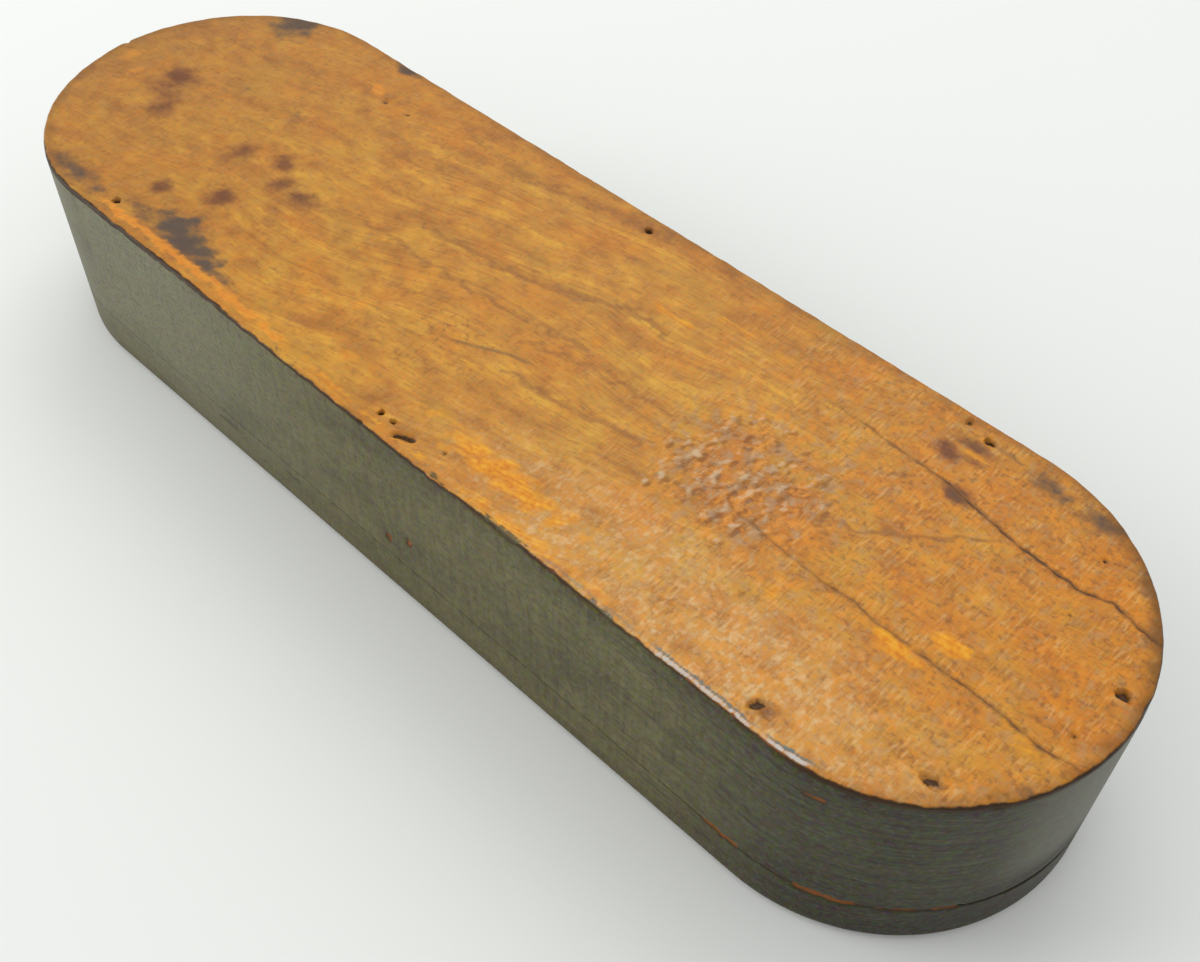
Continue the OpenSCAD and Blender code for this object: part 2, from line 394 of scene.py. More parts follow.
def wood_pattern(tree):
    """The sizes of one piece of wood. The fibres lean a little, and a wide noise bends them."""
    grain = put(tree, "Attribute", out="Vector", attribute_name="grain")
    leaning = put(tree, "Mapping", {"Vector": grain, "Rotation": (0, 0, -GRAIN_LEAN)})
    bend = patterns(tree, grain, {"bend": (48, 26, 1.0)})["bend"]
    shift = put(tree, "Math", {0: bend, 1: 2 * BEND_MM, 2: -BEND_MM}, operation="MULTIPLY_ADD")
    shift = put(tree, "CombineXYZ", {"Y": shift})
    leaning = put(tree, "VectorMath", {0: leaning, 1: shift}, operation="ADD")
    found = {"grain": grain}
    found.update(patterns(tree, leaning, {"bands": (75, 4.2, 3.0), "fibres": (13, 0.55, 2.0),
                                          "pores": (2.6, 0.42, 1.0)}))
    found.update(patterns(tree, grain, {"mottles": (4.6, 3.4, 3.0), "hues": (10, 6.5, 3.0),
                                        "flecks": (0.95, 0.8, 4.0), "hatching": (0.45, 2.2, 1.0)}))
    return found


print("grain leans", round(math.degrees(GRAIN_LEAN)), "degrees")

# %% [markdown]
# Wear lies on the wood in layers, so three more functions serve every material. One lays colours
# over each other, one adds up patterns, and one tears the border of a mask that the mesh stores,
# because a mask alone has an edge as smooth as its grid.

# %% Layers and torn borders


def over(tree, colour, layers):
    """Lays colours on a colour. A layer (value, start, end, strength, hex) grows smoothly from
    nothing where its value is at start to its strength, a number or a socket, at end."""
    for value, start, end, strength, code in layers:
        mask = put(tree, "MapRange", {"Value": value, "From Min": start, "From Max": end,
                                      "To Max": strength}, interpolation_type="SMOOTHSTEP")
        colour = put(tree, "Mix", {"Factor": mask, "A": colour, "B": hex_colour(code)},
                     data_type="RGBA")
    return colour


def weighted(tree, parts):
    """Sum of sockets times weights."""
    total = 0.0
    for socket, weight in parts:
        total = put(tree, "Math", {0: socket, 1: weight, 2: total}, operation="MULTIPLY_ADD")
    return total


def torn(tree, mask, noise, amount):
    """A stored mask whose border noise pushes in and out: mask + amount * (noise - 1/2)."""
    shift = put(tree, "Math", {0: noise, 1: amount, 2: -amount / 2}, operation="MULTIPLY_ADD")
    return put(tree, "Math", {0: mask, 1: shift}, operation="ADD")


print("a layer is a value, its start and end, a strength and a colour")

# %% [markdown]
# The sides carry old oil paint of a dull olive green, brushed thinly on the wood. Age made it
# mottled and browner towards the table. Light and shade are painted into its colour too: it is
# paler towards the left as painted light, darker again on the left end, and nearly black green
# on the right end, darkest low down and under the top edge there, as painted shade. The foot is
# darker as painted contact shade, and a painted sheen lies on the far right edge. The brush went
# up and down on the straight sides, and the long fibres show on the ends. The pattern reads the
# side as if it were unrolled: distance along the edge and height, both in millimetres.

# %% Paint finish
PAINT_GRIT = 0.05


def paint_finish(tree):
    """Colour, roughness and height in millimetres of the old paint. A ramp (value, start, end,
    least, most) is a strength that goes in a straight line from its least to its most while the
    value goes from start to end. Places along x are in metres, and heights in millimetres."""
    flat = put(tree, "Attribute", out="Vector", attribute_name="unrolled")
    height = put(tree, "SeparateXYZ", {"Vector": flat}, out="Y")
    x = put(tree, "SeparateXYZ", {"Vector": put(tree, "TexCoord", out="Object")}, out="X")
    reach = put(tree, "Math", {0: x}, operation="ABSOLUTE")
    ramps = {"on_end": (reach, 0.066, 0.082, 0.0, 0.70), "shade_low_right": (x, 0.055, 0.092, 0.0, 0.85),
             "shade_high_right": (x, -0.01, 0.08, 0.0, 0.40), "sheen_far_right": (height, 12, 17, 0.0, 0.50),
             "streaks": (x, 0.03, 0.09, 0.10, 0.70), "tints": (x, 0.05, 0.09, 0.45, 0.20),
             "pale_specks": (x, 0.04, 0.08, 0.30, 0.16)}
    strength = {}
    for name, (value, start, end, least, most) in ramps.items():
        strength[name] = put(tree, "MapRange", {"Value": value, "From Min": start, "From Max": end,
                                                "To Min": least, "To Max": most})
    noise = patterns(tree, flat, {
        "clouds": (26, 13, 3.0), "specks": (0.75, 0.65, 4.0), "spots": (2.4, 1.8, 3.0),
        "fibres": (11, 0.7, 3.0), "strokes": (0.9, 9, 2.0), "tints": (1.0, 0.8, 4.0)})
    brush = put(tree, "Mix", {"Factor": strength["on_end"], "A": noise["strokes"],
                              "B": noise["fibres"]})
    tone = weighted(tree, [(noise["clouds"], 0.30), (noise["spots"], 0.35), (brush, 0.35)])
    colour = put(tree, "ValToRGB", {"Fac": tone},
                 stops=[(0.34, "49452A"), (0.66, "706A44"), (0.5, "5F5A38")])
    # First the change along the box: paler to the left as painted light, darker again on the left
    # end, and nearly black on the right end as painted shade. Then browner towards the table,
    # darker at the foot as painted contact shade, painted shade low on the right end and under its
    # top edge, then streaks, a painted sheen on the far right edge, and specks
    colour = over(tree, colour, [
        # Paler to the left is painted light, the left end is darker again, and the nearly black
        # right end is painted shade
        (x, 0.0, -0.055, 0.60, "7E7E68"), (x, -0.070, -0.084, 0.70, "5C5A42"),
        (x, 0.056, 0.085, 0.80, "2A2B20"),
        (noise["clouds"], 0.50, 0.32, 0.30, "3A3622"),
        # Browner towards the table, and darker at the foot as painted contact shade
        (height, 13, 1.5, 0.40, "544B22"), (height, 4.5, 0.5, 0.60, "3C3414"),
        # Painted shade low on the right end and under its top edge
        (height, 19, 4, strength["shade_low_right"], "1A160C"),
        (height, 31, 37, strength["shade_high_right"], "24210F"),
        (noise["fibres"], 0.50, 0.34, strength["streaks"], "22211A"),
        (noise["fibres"], 0.56, 0.76, strength["streaks"], "4C4D42"),
        # Painted sheen on the far right edge
        (x, 0.1005, 0.1062, strength["sheen_far_right"], "7C7C70"),
        (noise["tints"], 0.50, 0.66, strength["tints"], "4C5848"),
        (noise["tints"], 0.50, 0.34, strength["tints"], "62501E"),
        (noise["specks"], 0.52, 0.70, strength["pale_specks"], "7C7458"),
        (noise["specks"], 0.48, 0.34, 0.45, "322F1C")])
    grit = noise["tints"].node.outputs["Color"]
    colour = put(tree, "Mix", {"Factor": PAINT_GRIT, "A": colour, "B": grit}, data_type="RGBA",
                 blend_type="LINEAR_LIGHT")
    rough = put(tree, "Math", {0: noise["specks"], 1: 0.25, 2: 0.34}, operation="MULTIPLY_ADD")
    relief = weighted(tree, [(noise["specks"], 0.035), (noise["spots"], 0.03), (brush, 0.05)])
    return colour, rough, relief


print("paint finish ready")

# %% [markdown]
# Inside the box and on the parting faces the wood was never finished. It is a dull straw brown,
# greyed by graphite and dotted with old ink.

# %% Bare wood finish


def bare_finish(tree, wood):
    """Colour and height in millimetres of the unfinished wood inside the box."""
    tone = weighted(tree, [(wood["bands"], 0.5), (wood["fibres"], 0.3), (wood["mottles"], 0.2)])
    colour = put(tree, "ValToRGB", {"Fac": tone},
                 stops=[(0.3, "80603A"), (0.7, "B8925A"), (0.5, "A07B49")])
    darkening = patterns(tree, wood["grain"], {"dust": (22, 9, 5.0), "ink": (14, 11, 2.0)})
    colour = over(tree, colour, [
        (wood["pores"], 0.58, 0.72, 0.5, "5C4027"), (darkening["dust"], 0.5, 0.75, 0.5, "75664F"),
        (darkening["ink"], 0.715, 0.735, 0.7, "2E3142")])
    relief = weighted(tree, [(wood["fibres"], 0.05), (wood["pores"], -0.03)])
    return colour, relief


print("bare wood ready")

# %% [markdown]
# The painted pieces mix these two finishes. A paint attribute is 1 on the outside and falls to 0
# just over the edge, and chips and grime are stored where the shape has them; the grime mask also
# carries painted shade in the seam and at the foot. Old thin paint has little gloss, so its
# specular level stays below the usual half.

# %% Painted wood material
DULL_GLOSS, BARE_ROUGH = 0.22, 0.75


def close_material(tree, colour, rough, relief, gloss):
    """Principled surface with the relief, in millimetres, as bump."""
    bump = put(tree, "Bump", {"Height": relief, "Distance": 1 / TO_MM, "Strength": 1.0})
    shader = put(tree, "BsdfPrincipled", {"Base Color": colour, "Roughness": rough, "IOR": 1.5,
                                          "Normal": bump, "Specular IOR Level": gloss})
    put(tree, "OutputMaterial", {"Surface": shader})


painted_wood, tree = new_material("old_oil_paint_on_hardwood")
wood = wood_pattern(tree)
stored = {name: put(tree, "Attribute", out="Fac", attribute_name=name)
          for name in ("paint", "chip", "grime_and_shade")}
flat = put(tree, "Attribute", out="Vector", attribute_name="unrolled")
tear = patterns(tree, flat, {"tear": (1.2, 0.7, 3.0)})["tear"]
paint_colour, paint_rough, paint_relief = paint_finish(tree)
bare_colour, bare_relief = bare_finish(tree, wood)
covered = put(tree, "MapRange", {"Value": torn(tree, stored["paint"], wood["fibres"], 0.5),
                                 "From Min": 0.35, "From Max": 0.6})
colour = put(tree, "Mix", {"Factor": covered, "A": bare_colour, "B": paint_colour},
             data_type="RGBA")
rough = put(tree, "Mix", {"Factor": covered, "A": BARE_ROUGH, "B": paint_rough})
relief = put(tree, "Mix", {"Factor": covered, "A": bare_relief, "B": paint_relief})
chip = torn(tree, stored["chip"], tear, 0.7)
colour = over(tree, colour, [
    # Grime, with painted shade in the seam and at the foot
    (torn(tree, stored["grime_and_shade"], tear, 0.6), 0.2, 0.9, 0.85, "2E2A1B"),
    (chip, 0.15, 0.4, 0.9, "3A2A18"), (chip, 0.40, 0.85, 0.90, "7C4610"),
    (chip, 0.95, 1.35, 0.85, "A07C42")])
close_material(tree, colour, rough, relief, DULL_GLOSS)
print("material", painted_wood.name)

# %% [markdown]
# The sides are walls of constant section. A closed section of four faces is carried along the
# edge, so one function makes the straight rails and the round end blocks of both sections. The
# upper edge of the lower section slopes towards the back, which gives the hinges their room. Only
# this slope is typed again here, because a piece's lowest and highest corners don't show it.

# %% Section of a wall
# Start of the slope from the front edge, and its run
GAP_START, GAP_RUN = 11, 15
FLAT_ROWS = 9


def parting_z(y):
    """Upper edge of the lower section: level at the front, a slope, then level at the back."""
    slope = [GAP_START - END_R, GAP_START + GAP_RUN - END_R]
    return np.interp(y, slope, [LOWER_H, LOWER_BACK_Z])


def wall_section(samples, low_arris, high_arris):
    """Closed section as three rows: distance from the middle line, share of the height, and a
    small rise in millimetres that breaks the edges. It goes up outside and down inside."""
    share = np.linspace(0, 1, samples)
    rise = np.where(share == 0, low_arris, 0) - np.where(share == 1, high_arris, 0)
    flat = np.linspace(0, 1, FLAT_ROWS)
    rho = [np.full(samples, END_R),
           END_R - high_arris + (INNER_R - END_R + 2 * high_arris) * flat,
           np.full(samples, INNER_R),
           INNER_R + low_arris + (END_R - INNER_R - 2 * low_arris) * flat]
    height = [share, np.ones(FLAT_ROWS), share[::-1], np.zeros(FLAT_ROWS)]
    lift = [rise, np.zeros(FLAT_ROWS), rise[::-1], np.zeros(FLAT_ROWS)]
    return np.concatenate(rho), np.concatenate(height), np.concatenate(lift)


print("parting line at the front", round(LOWER_H, 2), "and at the back", round(LOWER_BACK_Z, 2))

# %% [markdown]
# The chips and dirt of the sides sit where the picture shows them: along the parting line near
# the right end, under the top edge there, and at the middle of the front, where a catch once was.
# On the parting line at the right end the dark rows paint the shadow of the open seam.

# %% Wear on the sides
# Chips, then grime and painted seam shadow: arc length, height, half length, half height, strength
SIDE_CHIPS = [(70.8, 9.2, 3.4, 0.50, 1.0), (87.0, 9.1, 5.2, 0.60, 1.0),
              (97.5, 9.4, 3.6, 0.35, 0.7), (103.5, 9.4, 2.8, 0.40, 0.8),
              (82.7, 32.5, 1.9, 0.45, 0.8), (8.0, 16.5, 0.7, 0.90, 1.1),
              (3.0, 13.3, 0.6, 1.30, 1.0), (-118.0, 9.2, 4.0, 0.40, 0.8),
              (205.0, 9.4, 5.0, 0.45, 0.9), (236.0, 20.0, 0.8, 1.60, 0.7),
              (262.0, 8.0, 3.0, 0.50, 0.8), (310.0, 9.8, 6.0, 0.40, 0.9)]
SIDE_GRIME_AND_SHADE = [(-39.5, 7.2, 4.2, 0.80, 0.55), (-21.4, 7.1, 2.6, 0.70, 0.55),
              # The rows at 95, 114 and 121 paint the shadow of the open seam at the right end
              (3.0, 14.5, 0.35, 2.40, 0.8), (95.0, 9.5, 24.0, 0.55, 1.0),
              (114.0, 10.1, 11.0, 1.00, 1.0), (66.0, 9.4, 14.0, 0.22, 0.4),
              (121.0, 11.3, 9.0, 1.70, 1.3), (-75.0, 27.0, 5.0, 1.20, 0.25),
              (77.0, 35.0, 0.5, 1.20, 0.7), (84.0, 16.0, 0.3, 1.20, 0.6),
              (60.0, 7.0, 6.0, 0.60, 0.5), (250.0, 11.0, 9.0, 1.00, 0.5),
              (330.0, 14.0, 12.0, 1.20, 0.4)]
LEFT_REACH = 135


def unwrap(s):
    """Arc length as in the tables: the last LEFT_REACH before the start, round the left end, have
    a whole round taken off, so that they are negative."""
    return np.where(s > ROUND - LEFT_REACH, s - ROUND, s)


def side_wear(s, z):
    """Chips, and grime with painted seam shadow, outside, as masks from 0 to their strengths."""
    place, ragged = unwrap(s), ripple(s, z, 1.6, 21)
    return blots(place, z, SIDE_CHIPS, ragged), blots(place, z, SIDE_GRIME_AND_SHADE, ragged, 0.6)


print("chips", len(SIDE_CHIPS), "grime_and_shade", len(SIDE_GRIME_AND_SHADE))

# %% [markdown]
# One function now makes any of the eight walls. It could be cut from a solid ring, but then the
# grain would run the same way in all of them. As separate pieces the rails have it along the box
# and the end blocks across, as the joiner cut them. Chips are sunk into the surface, and the
# parting faces are darkened a little way in from the outside, which paints the shade in the seam
# between the two sections.

# %% One wall
WALL_STEP, CHIP_DEPTH, GRAIN_SHIFT = 0.45, 0.28, 37.0
# The paint fades over an edge between these two depths
FADE_START, FADE_END = 0.45, 0.05
# Painted shade of the seam on the parting faces: from and to these depths, and its strength
SEAM_SHADE_START, SEAM_SHADE_END, SEAM_SHADE_LEVEL = 3.5, 0.6, 0.8


def add_wall(node, start, end, low, high, samples, arrises):
    """One rail or end block from arc length start to end. Its section is stretched between the
    heights low and high, which are functions of y, and each end is closed by a fan."""
    rho, share, lift = (a[None, :] for a in wall_section(samples, *arrises))
    s = np.linspace(start, end, max(2, round((end - start) / WALL_STEP) + 1))[:, None]
    _, y = outline(s, rho)
    z = low(y) + share * (high(y) - low(y)) + lift
    outside = smooth(END_R - FADE_START, END_R - FADE_END, rho)
    chip, grime_and_shade = (mask * outside for mask in side_wear(s + 0 * z, z))
    # The parting faces near the outside get painted shade of the seam
    parting = (share == (0 if node.startswith("upper") else 1)) & (rho < END_R - FADE_END)
    darkening = smooth(END_R - SEAM_SHADE_START, END_R - SEAM_SHADE_END, rho)
    grime_and_shade = np.maximum(grime_and_shade, SEAM_SHADE_LEVEL * parting * darkening)
    x, y = outline(s, rho - CHIP_DEPTH * chip)
    rows, columns = z.shape
    points = np.stack([x, y, z], axis=-1).reshape(-1, 3)
    hubs = points.reshape(rows, columns, 3)[[0, -1]].mean(axis=1)
    faces = [grid_faces(rows, columns, close_columns=True)]
    for hub, ring in ((len(points), 0), (len(points) + 1, (rows - 1) * columns)):
        j = np.arange(columns)
        after = ring + (j + 1) % columns
        fan = np.stack([np.full(columns, hub), ring + j, after, after], axis=1)
        faces.append(fan if ring else fan[:, [0, 2, 1, 1]])
    along_y = "end" in node
    grain = points[:, [1, 0, 2]] if along_y else points
    flat = np.stack([s + 0 * z, z, rho + 0 * z], axis=-1).reshape(-1, 3)
    hub_zero = np.zeros(2)
    marks = {"grain": np.concatenate([grain + len(made_pieces) * GRAIN_SHIFT, hubs]),
             "unrolled": np.concatenate([flat, flat[[0, -1]]]),
             "paint": np.concatenate([(outside + 0 * z).ravel(), hub_zero]),
             "chip": np.concatenate([chip.ravel(), hub_zero]),
             "grime_and_shade": np.concatenate([grime_and_shade.ravel(), hub_zero])}
    add_piece(node + "_dressed", node, np.concatenate([points, hubs]), np.concatenate(faces),
              marks, painted_wood)


print("a wall has a ring of points every", WALL_STEP, "mm")

# %% [markdown]
# The four walls of the shell stand on the parting line, and those of the tray on the lower board.
# An edge that is glued to a board stays sharp, and one on the parting line is a little rounded by
# use.

# %% Rails and end blocks
JOINT_ARRIS, PARTING_ARRIS = 0.02, 0.14
UPPER_ROWS, LOWER_ROWS = 46, 16
SPANS = {"front_rail": (-HALF, HALF), "right_end": (HALF, HALF + END_ARC),
         "back_rail": (HALF + END_ARC, 3 * HALF + END_ARC),
         "left_end": (3 * HALF + END_ARC, 3 * HALF + 2 * END_ARC)}
for part, (start, end) in SPANS.items():
    add_wall("upper_" + part, start, end, lambda y: UPPER_Z + 0 * y, lambda y: BOARD_Z + 0 * y,
             UPPER_ROWS, (PARTING_ARRIS, JOINT_ARRIS))
    add_wall("lower_" + part, start, end, lambda y: FLOOR_Z + 0 * y, parting_z,
             LOWER_ROWS, (JOINT_ARRIS, PARTING_ARRIS))

# %% [markdown]
# The lower board closes the tray. It is a flat board whose bottom edge is well rounded, so the
# box seems to stand on a soft foot. A profile from the middle of the underside, round the edge
# and back to the middle of the upper face is carried all round. The nails that hold it sit in
# small pits.

# %% Nails of the lower board
NAIL_W = 4.0


def nail_places(node):
    """Middles of a CAD piece's nails. Points nearer than NAIL_W share a nail, which is numbered
    by its first point, and its middle is half way between its lowest and highest corner."""
    mesh = frame["nodes"][node].data
    found = np.empty(3 * len(mesh.vertices))
    mesh.vertices.foreach_get("co", found)
    plan = np.unique(np.round(found.reshape(-1, 3)[:, :2] * TO_MM, 2), axis=0)
    apart = np.hypot(*np.moveaxis(plan[:, None] - plan[None, :], 2, 0))
    first, number = np.unique((apart < NAIL_W).argmax(axis=1), return_inverse=True)
    low, high = np.full((len(first), 2), np.inf), np.full((len(first), 2), -np.inf)
    np.minimum.at(low, number, plan)
    np.maximum.at(high, number, plan)
    return (low + high) / 2


bottom_nails = nail_places("lower_board_nails")
print("nails under the lower board", len(bottom_nails))

# %% Lower board
FOOT_R, FOOT_STEP = 2.0, 0.5
PIT_DEPTH, PIT_R, LOWER_GRAIN_SHIFT = 0.9, 1.2, 11.0
# Rows of the profile on the underside, round the foot, up the side and on the upper face
UNDER_ROWS, FOOT_ROWS, SIDE_ROWS, INSIDE_ROWS = 61, 8, 4, 11

arc = np.linspace(0, np.pi / 2, FOOT_ROWS + 1)[1:]
rho = np.concatenate([np.linspace(0, END_R - FOOT_R, UNDER_ROWS),
                      END_R - FOOT_R + FOOT_R * np.sin(arc), np.full(SIDE_ROWS, END_R),
                      np.linspace(END_R, 0, INSIDE_ROWS + 1)[1:]])[None, :]
z = np.concatenate([np.zeros(UNDER_ROWS), FOOT_R - FOOT_R * np.cos(arc),
                    np.linspace(FOOT_R, FLOOR_Z, SIDE_ROWS + 1)[1:],
                    np.full(INSIDE_ROWS, FLOOR_Z)])[None, :]
s = stations(spaced([(-HALF, HALF, FOOT_STEP)]), FOOT_STEP, FOOT_STEP)[:, None]
x, y = outline(s, rho)
under = smooth(FOOT_R, 0, z)
pits = blots(x, y, [(px, py, PIT_R, PIT_R, 1.0) for px, py in bottom_nails],
             ripple(x, y, 2, 31))
inside = (np.arange(rho.size) >= rho.size - INSIDE_ROWS)[None, :] + 0 * x
z = z + under * pits * PIT_DEPTH + 0 * x
scuff = smooth(0.9, 1.6, ripple(x, y, 9, 32)) * smooth(1.2, 0.2, z) * (1 - inside)
# Darker where the rounded foot meets the table: painted contact shade
foot_contact_shade = 0.55 * smooth(1.6, 0.4, z) * smooth(END_R - 4, END_R - 1, rho)
scuff = 0.5 * scuff * smooth(END_R, END_R - 3, rho)
points = np.stack([x, y, z], axis=-1).reshape(-1, 3)
marks = {"grain": points + LOWER_GRAIN_SHIFT,
         "unrolled": np.stack([s + 0 * x, z, x], axis=-1).reshape(-1, 3),
         "paint": (1 - inside).ravel(), "chip": scuff.ravel(),
         "grime_and_shade": np.maximum(under * pits, foot_contact_shade).ravel()}
add_piece("lower_board_dressed", "lower_board", points, grid_faces(*z.shape, close_rows=True),
          marks, painted_wood)

# %% [markdown]
# The top board is what the eye goes to. It is a thin board with a worn varnish. Its grid covers
# the whole face, so that nail pits, a gouge, two long cracks and the lifting varnish are real
# relief. The tables give each mark's place as measured on the picture, in millimetres from the
# middle of the box.

# %% Marks on the varnished board
# Sunk nails and holes: x, y, half length, half width, depth
PITS = [(-67.2, -27.9, 0.60, 0.68, 0.90), (0.7, -28.5, 0.48, 0.45, 0.85),
        (3.4, -28.6, 0.40, 0.38, 0.70), (70.5, -28.4, 0.78, 0.66, 0.60),
        (70.9, -28.0, 0.74, 0.62, 0.62), (71.3, -27.6, 0.66, 0.56, 0.50),
        (91.9, -21.9, 0.82, 0.74, 0.60), (92.7, -21.5, 0.74, 0.54, 0.50),
        (102.4, 4.7, 0.92, 0.82, 0.90), (62.4, 30.1, 0.50, 0.54, 0.50),
        (66.8, 28.8, 0.78, 0.58, 0.90), (0.4, 28.9, 0.74, 0.58, 0.90),
        (-57.3, 21.6, 0.90, 0.65, 0.25), (-51.4, 21.9, 0.60, 0.50, 0.15),
        (89.7, 21.6, 0.40, 0.50, 0.35), (101.1, -4.5, 0.40, 0.40, 0.35),
        (13.0, -27.4, 0.40, 0.40, 0.35), (91.0, 10.6, 0.35, 0.35, 0.25),
        (58.8, -16.4, 0.40, 0.50, 0.20)]
# Shallow hollows torn beside two nails: x, y, half length, half width, depth
HOLLOWS = [(72.3, -27.8, 1.25, 0.95, 0.40), (93.2, -21.5, 1.00, 0.75, 0.40)]
# A slot torn by a slipped tool: width, strength, corners
GOUGES = [(0.56, 1.0, [(5.2, -30.2), (6.4, -29.4), (8.4, -28.7)])]
# Reddish brown stains and grey black stains: x, y, half length, half width, strength
STAINS = [(63.4, 23.0, 2.2, 1.7, 1.00), (66.4, 23.9, 2.2, 0.9, 0.70),
          (69.0, 17.3, 2.0, 1.4, 1.35), (-89.0, 0.2, 3.7, 3.1, 0.95),
          (-88.8, -2.9, 3.8, 2.6, 0.74), (-85.6, -4.8, 2.6, 2.4, 0.72),
          (-83.6, -7.4, 2.4, 2.9, 0.88), (-63.3, -5.2, 2.4, 2.2, 0.90),
          (-55.6, -2.0, 2.7, 2.0, 0.90), (-51.2, -5.9, 2.3, 1.8, 0.90),
          (-46.0, -6.0, 3.1, 1.9, 0.90), (-55.5, -15.5, 2.4, 2.9, 1.00),
          (-64.8, -21.0, 1.8, 2.0, 0.95), (-45.0, -13.0, 2.6, 1.8, 0.35),
          (65.5, 26.5, 3.2, 1.2, 0.95), (-36.0, 8.0, 3.0, 2.4, 0.30),
          (-58.0, -25.8, 9.0, 2.2, 0.45), (-79.0, -27.4, 7.0, 2.2, 0.45),
          (72.4, -28.1, 1.4, 1.2, 0.76), (93.4, -21.8, 1.0, 0.9, 0.42),
          (-101, 9.0, 1.6, 2.4, 0.40), (-70.0, 0.0, 1.4, 2.0, 0.30), (-52.0, 1.0, 1.4, 1.6, 0.35),
          (-42.0, 13.0, 2.4, 3.0, 0.25)]
SOOT = [(-88.3, 26.3, 4.0, 4.4, 1.05), (-53.8, -25.2, 4.2, 3.2, 1.15),
        (-49.2, -26.5, 6.0, 2.3, 1.15), (-44.0, -27.3, 4.2, 1.4, 1.05),
        (-60.2, -26.8, 5.0, 1.7, 0.60), (-41.6, -25.9, 0.8, 0.8, 1.00),
        (-78.4, -28.3, 6.6, 1.5, 0.80), (77.7, 27.5, 3.9, 1.7, 0.68),
        (86.2, 26.6, 3.5, 1.9, 0.80), (94.6, 22.6, 2.8, 1.6, 0.42),
        (101.0, -15.3, 0.8, 1.2, 0.60), (-79.0, 6.0, 2.8, 2.2, 0.35),
        (-65.0, 7.6, 2.2, 1.6, 0.35), (-97.0, 5.0, 2.0, 1.2, 0.35), (-61.7, 31.2, 2.5, 1.1, 1.30),
        (69.2, 28.6, 1.6, 0.6, 0.60), (-38.5, -27.5, 1.8, 1.0, 0.60),
        (69.0, 17.3, 1.5, 1.0, 0.70)]
# Bright orange places where the varnish is gone: x, y, half length, half width, strength
BARE = [(22.0, -24.4, 13.0, 2.3, 0.84), (19.5, -25.2, 4.2, 1.4, 1.00),
        (27.5, -25.0, 3.6, 1.2, 0.85), (-19.0, -15.5, 1.4, 1.8, 0.60),
        (-11.0, -24.6, 1.8, 1.2, 0.60), (12.5, 3.6, 1.1, 1.2, 0.50), (17.5, 16.3, 4.8, 0.6, 0.70),
        (19.0, 13.3, 2.4, 0.8, 0.40), (78.0, -9.4, 3.6, 1.6, 0.85), (83.3, -4.4, 2.4, 1.5, 0.90),
        (-61.0, 23.0, 1.8, 1.5, 0.70), (66.0, 25.0, 3.2, 0.5, 0.70), (25.0, 21.0, 5.0, 0.9, 0.45),
        (86.0, 7.4, 2.2, 1.2, 0.40), (61.0, -13.0, 1.2, 2.2, 0.60), (97.0, -10.0, 2.2, 1.6, 0.45),
        (-102.0, -2.0, 2.2, 2.4, 0.50), (-97.0, -4.0, 1.6, 1.4, 0.45),
        # The rows at x 30 and 44 on the front edge are partly a painted sheen there
        (36.0, -7.0, 2.2, 1.2, 0.55), (30.0, -29.9, 10.0, 1.0, 0.70),
        (44.0, -29.7, 7.0, 1.0, 0.50), (34.0, 21.0, 2.0, 0.7, 0.50), (99.0, 24.0, 2.0, 2.0, 0.30)]
# A bright strip along the front edge: its middle line, its half width, and its stretches
BARE_STRIP = [(-74, -29.6), (-60, -29.4), (-47, -29.2), (-30, -29.3), (-10, -30.1), (34, -30.4)]
STRIP_WIDTH = [(-60, 1.00), (-22, 0.95), (-8, 0.55), (34, 0.5)]
STRIP_SPANS = [(-69, -20, 0.9), (-16, 36, 0.55)]
print("marks on the board:", len(PITS) + len(STAINS) + len(SOOT) + len(BARE))

# %% [markdown]
# Other marks are long and thin: two open cracks, darker growth lines, and what happened along the
# edge, where the varnish of the face meets the paint of the side. They are tables of corners or
# of values along a line, and numpy's interp fills in between.

# %% Lines on the varnished board
# Corners of the two cracks
CRACKS = [[(45.6, -5.6), (49, -6.6), (57, -7.2), (65, -7.8), (70, -7.3), (73.4, -8.1),
           (78.4, -7.9), (83.4, -8.1), (90.6, -8.0), (95, -8.6), (99, -8.9), (103, -8.3),
           (107, -8.0)],
          [(40.6, 19.4), (51.3, 18.9), (60.6, 18.4), (67, 18.1), (72, 17.0), (78.4, 15.8),
           (84.9, 15.3), (89.9, 14.9), (94.1, 16.1), (98.4, 15.1), (102, 14.6), (107, 14.2)]]
# How open each crack is along x
CRACK_OPEN = [[(45, 0.0), (52, 0.35), (72, 0.45), (84, 0.5), (90, 0.7), (99, 0.7),
               (104, 0.35), (107, 0.3)],
              [(40, 0.0), (50, 0.30), (64, 0.6), (72, 0.9), (90, 1.0), (97, 0.8), (107, 0.6)]]
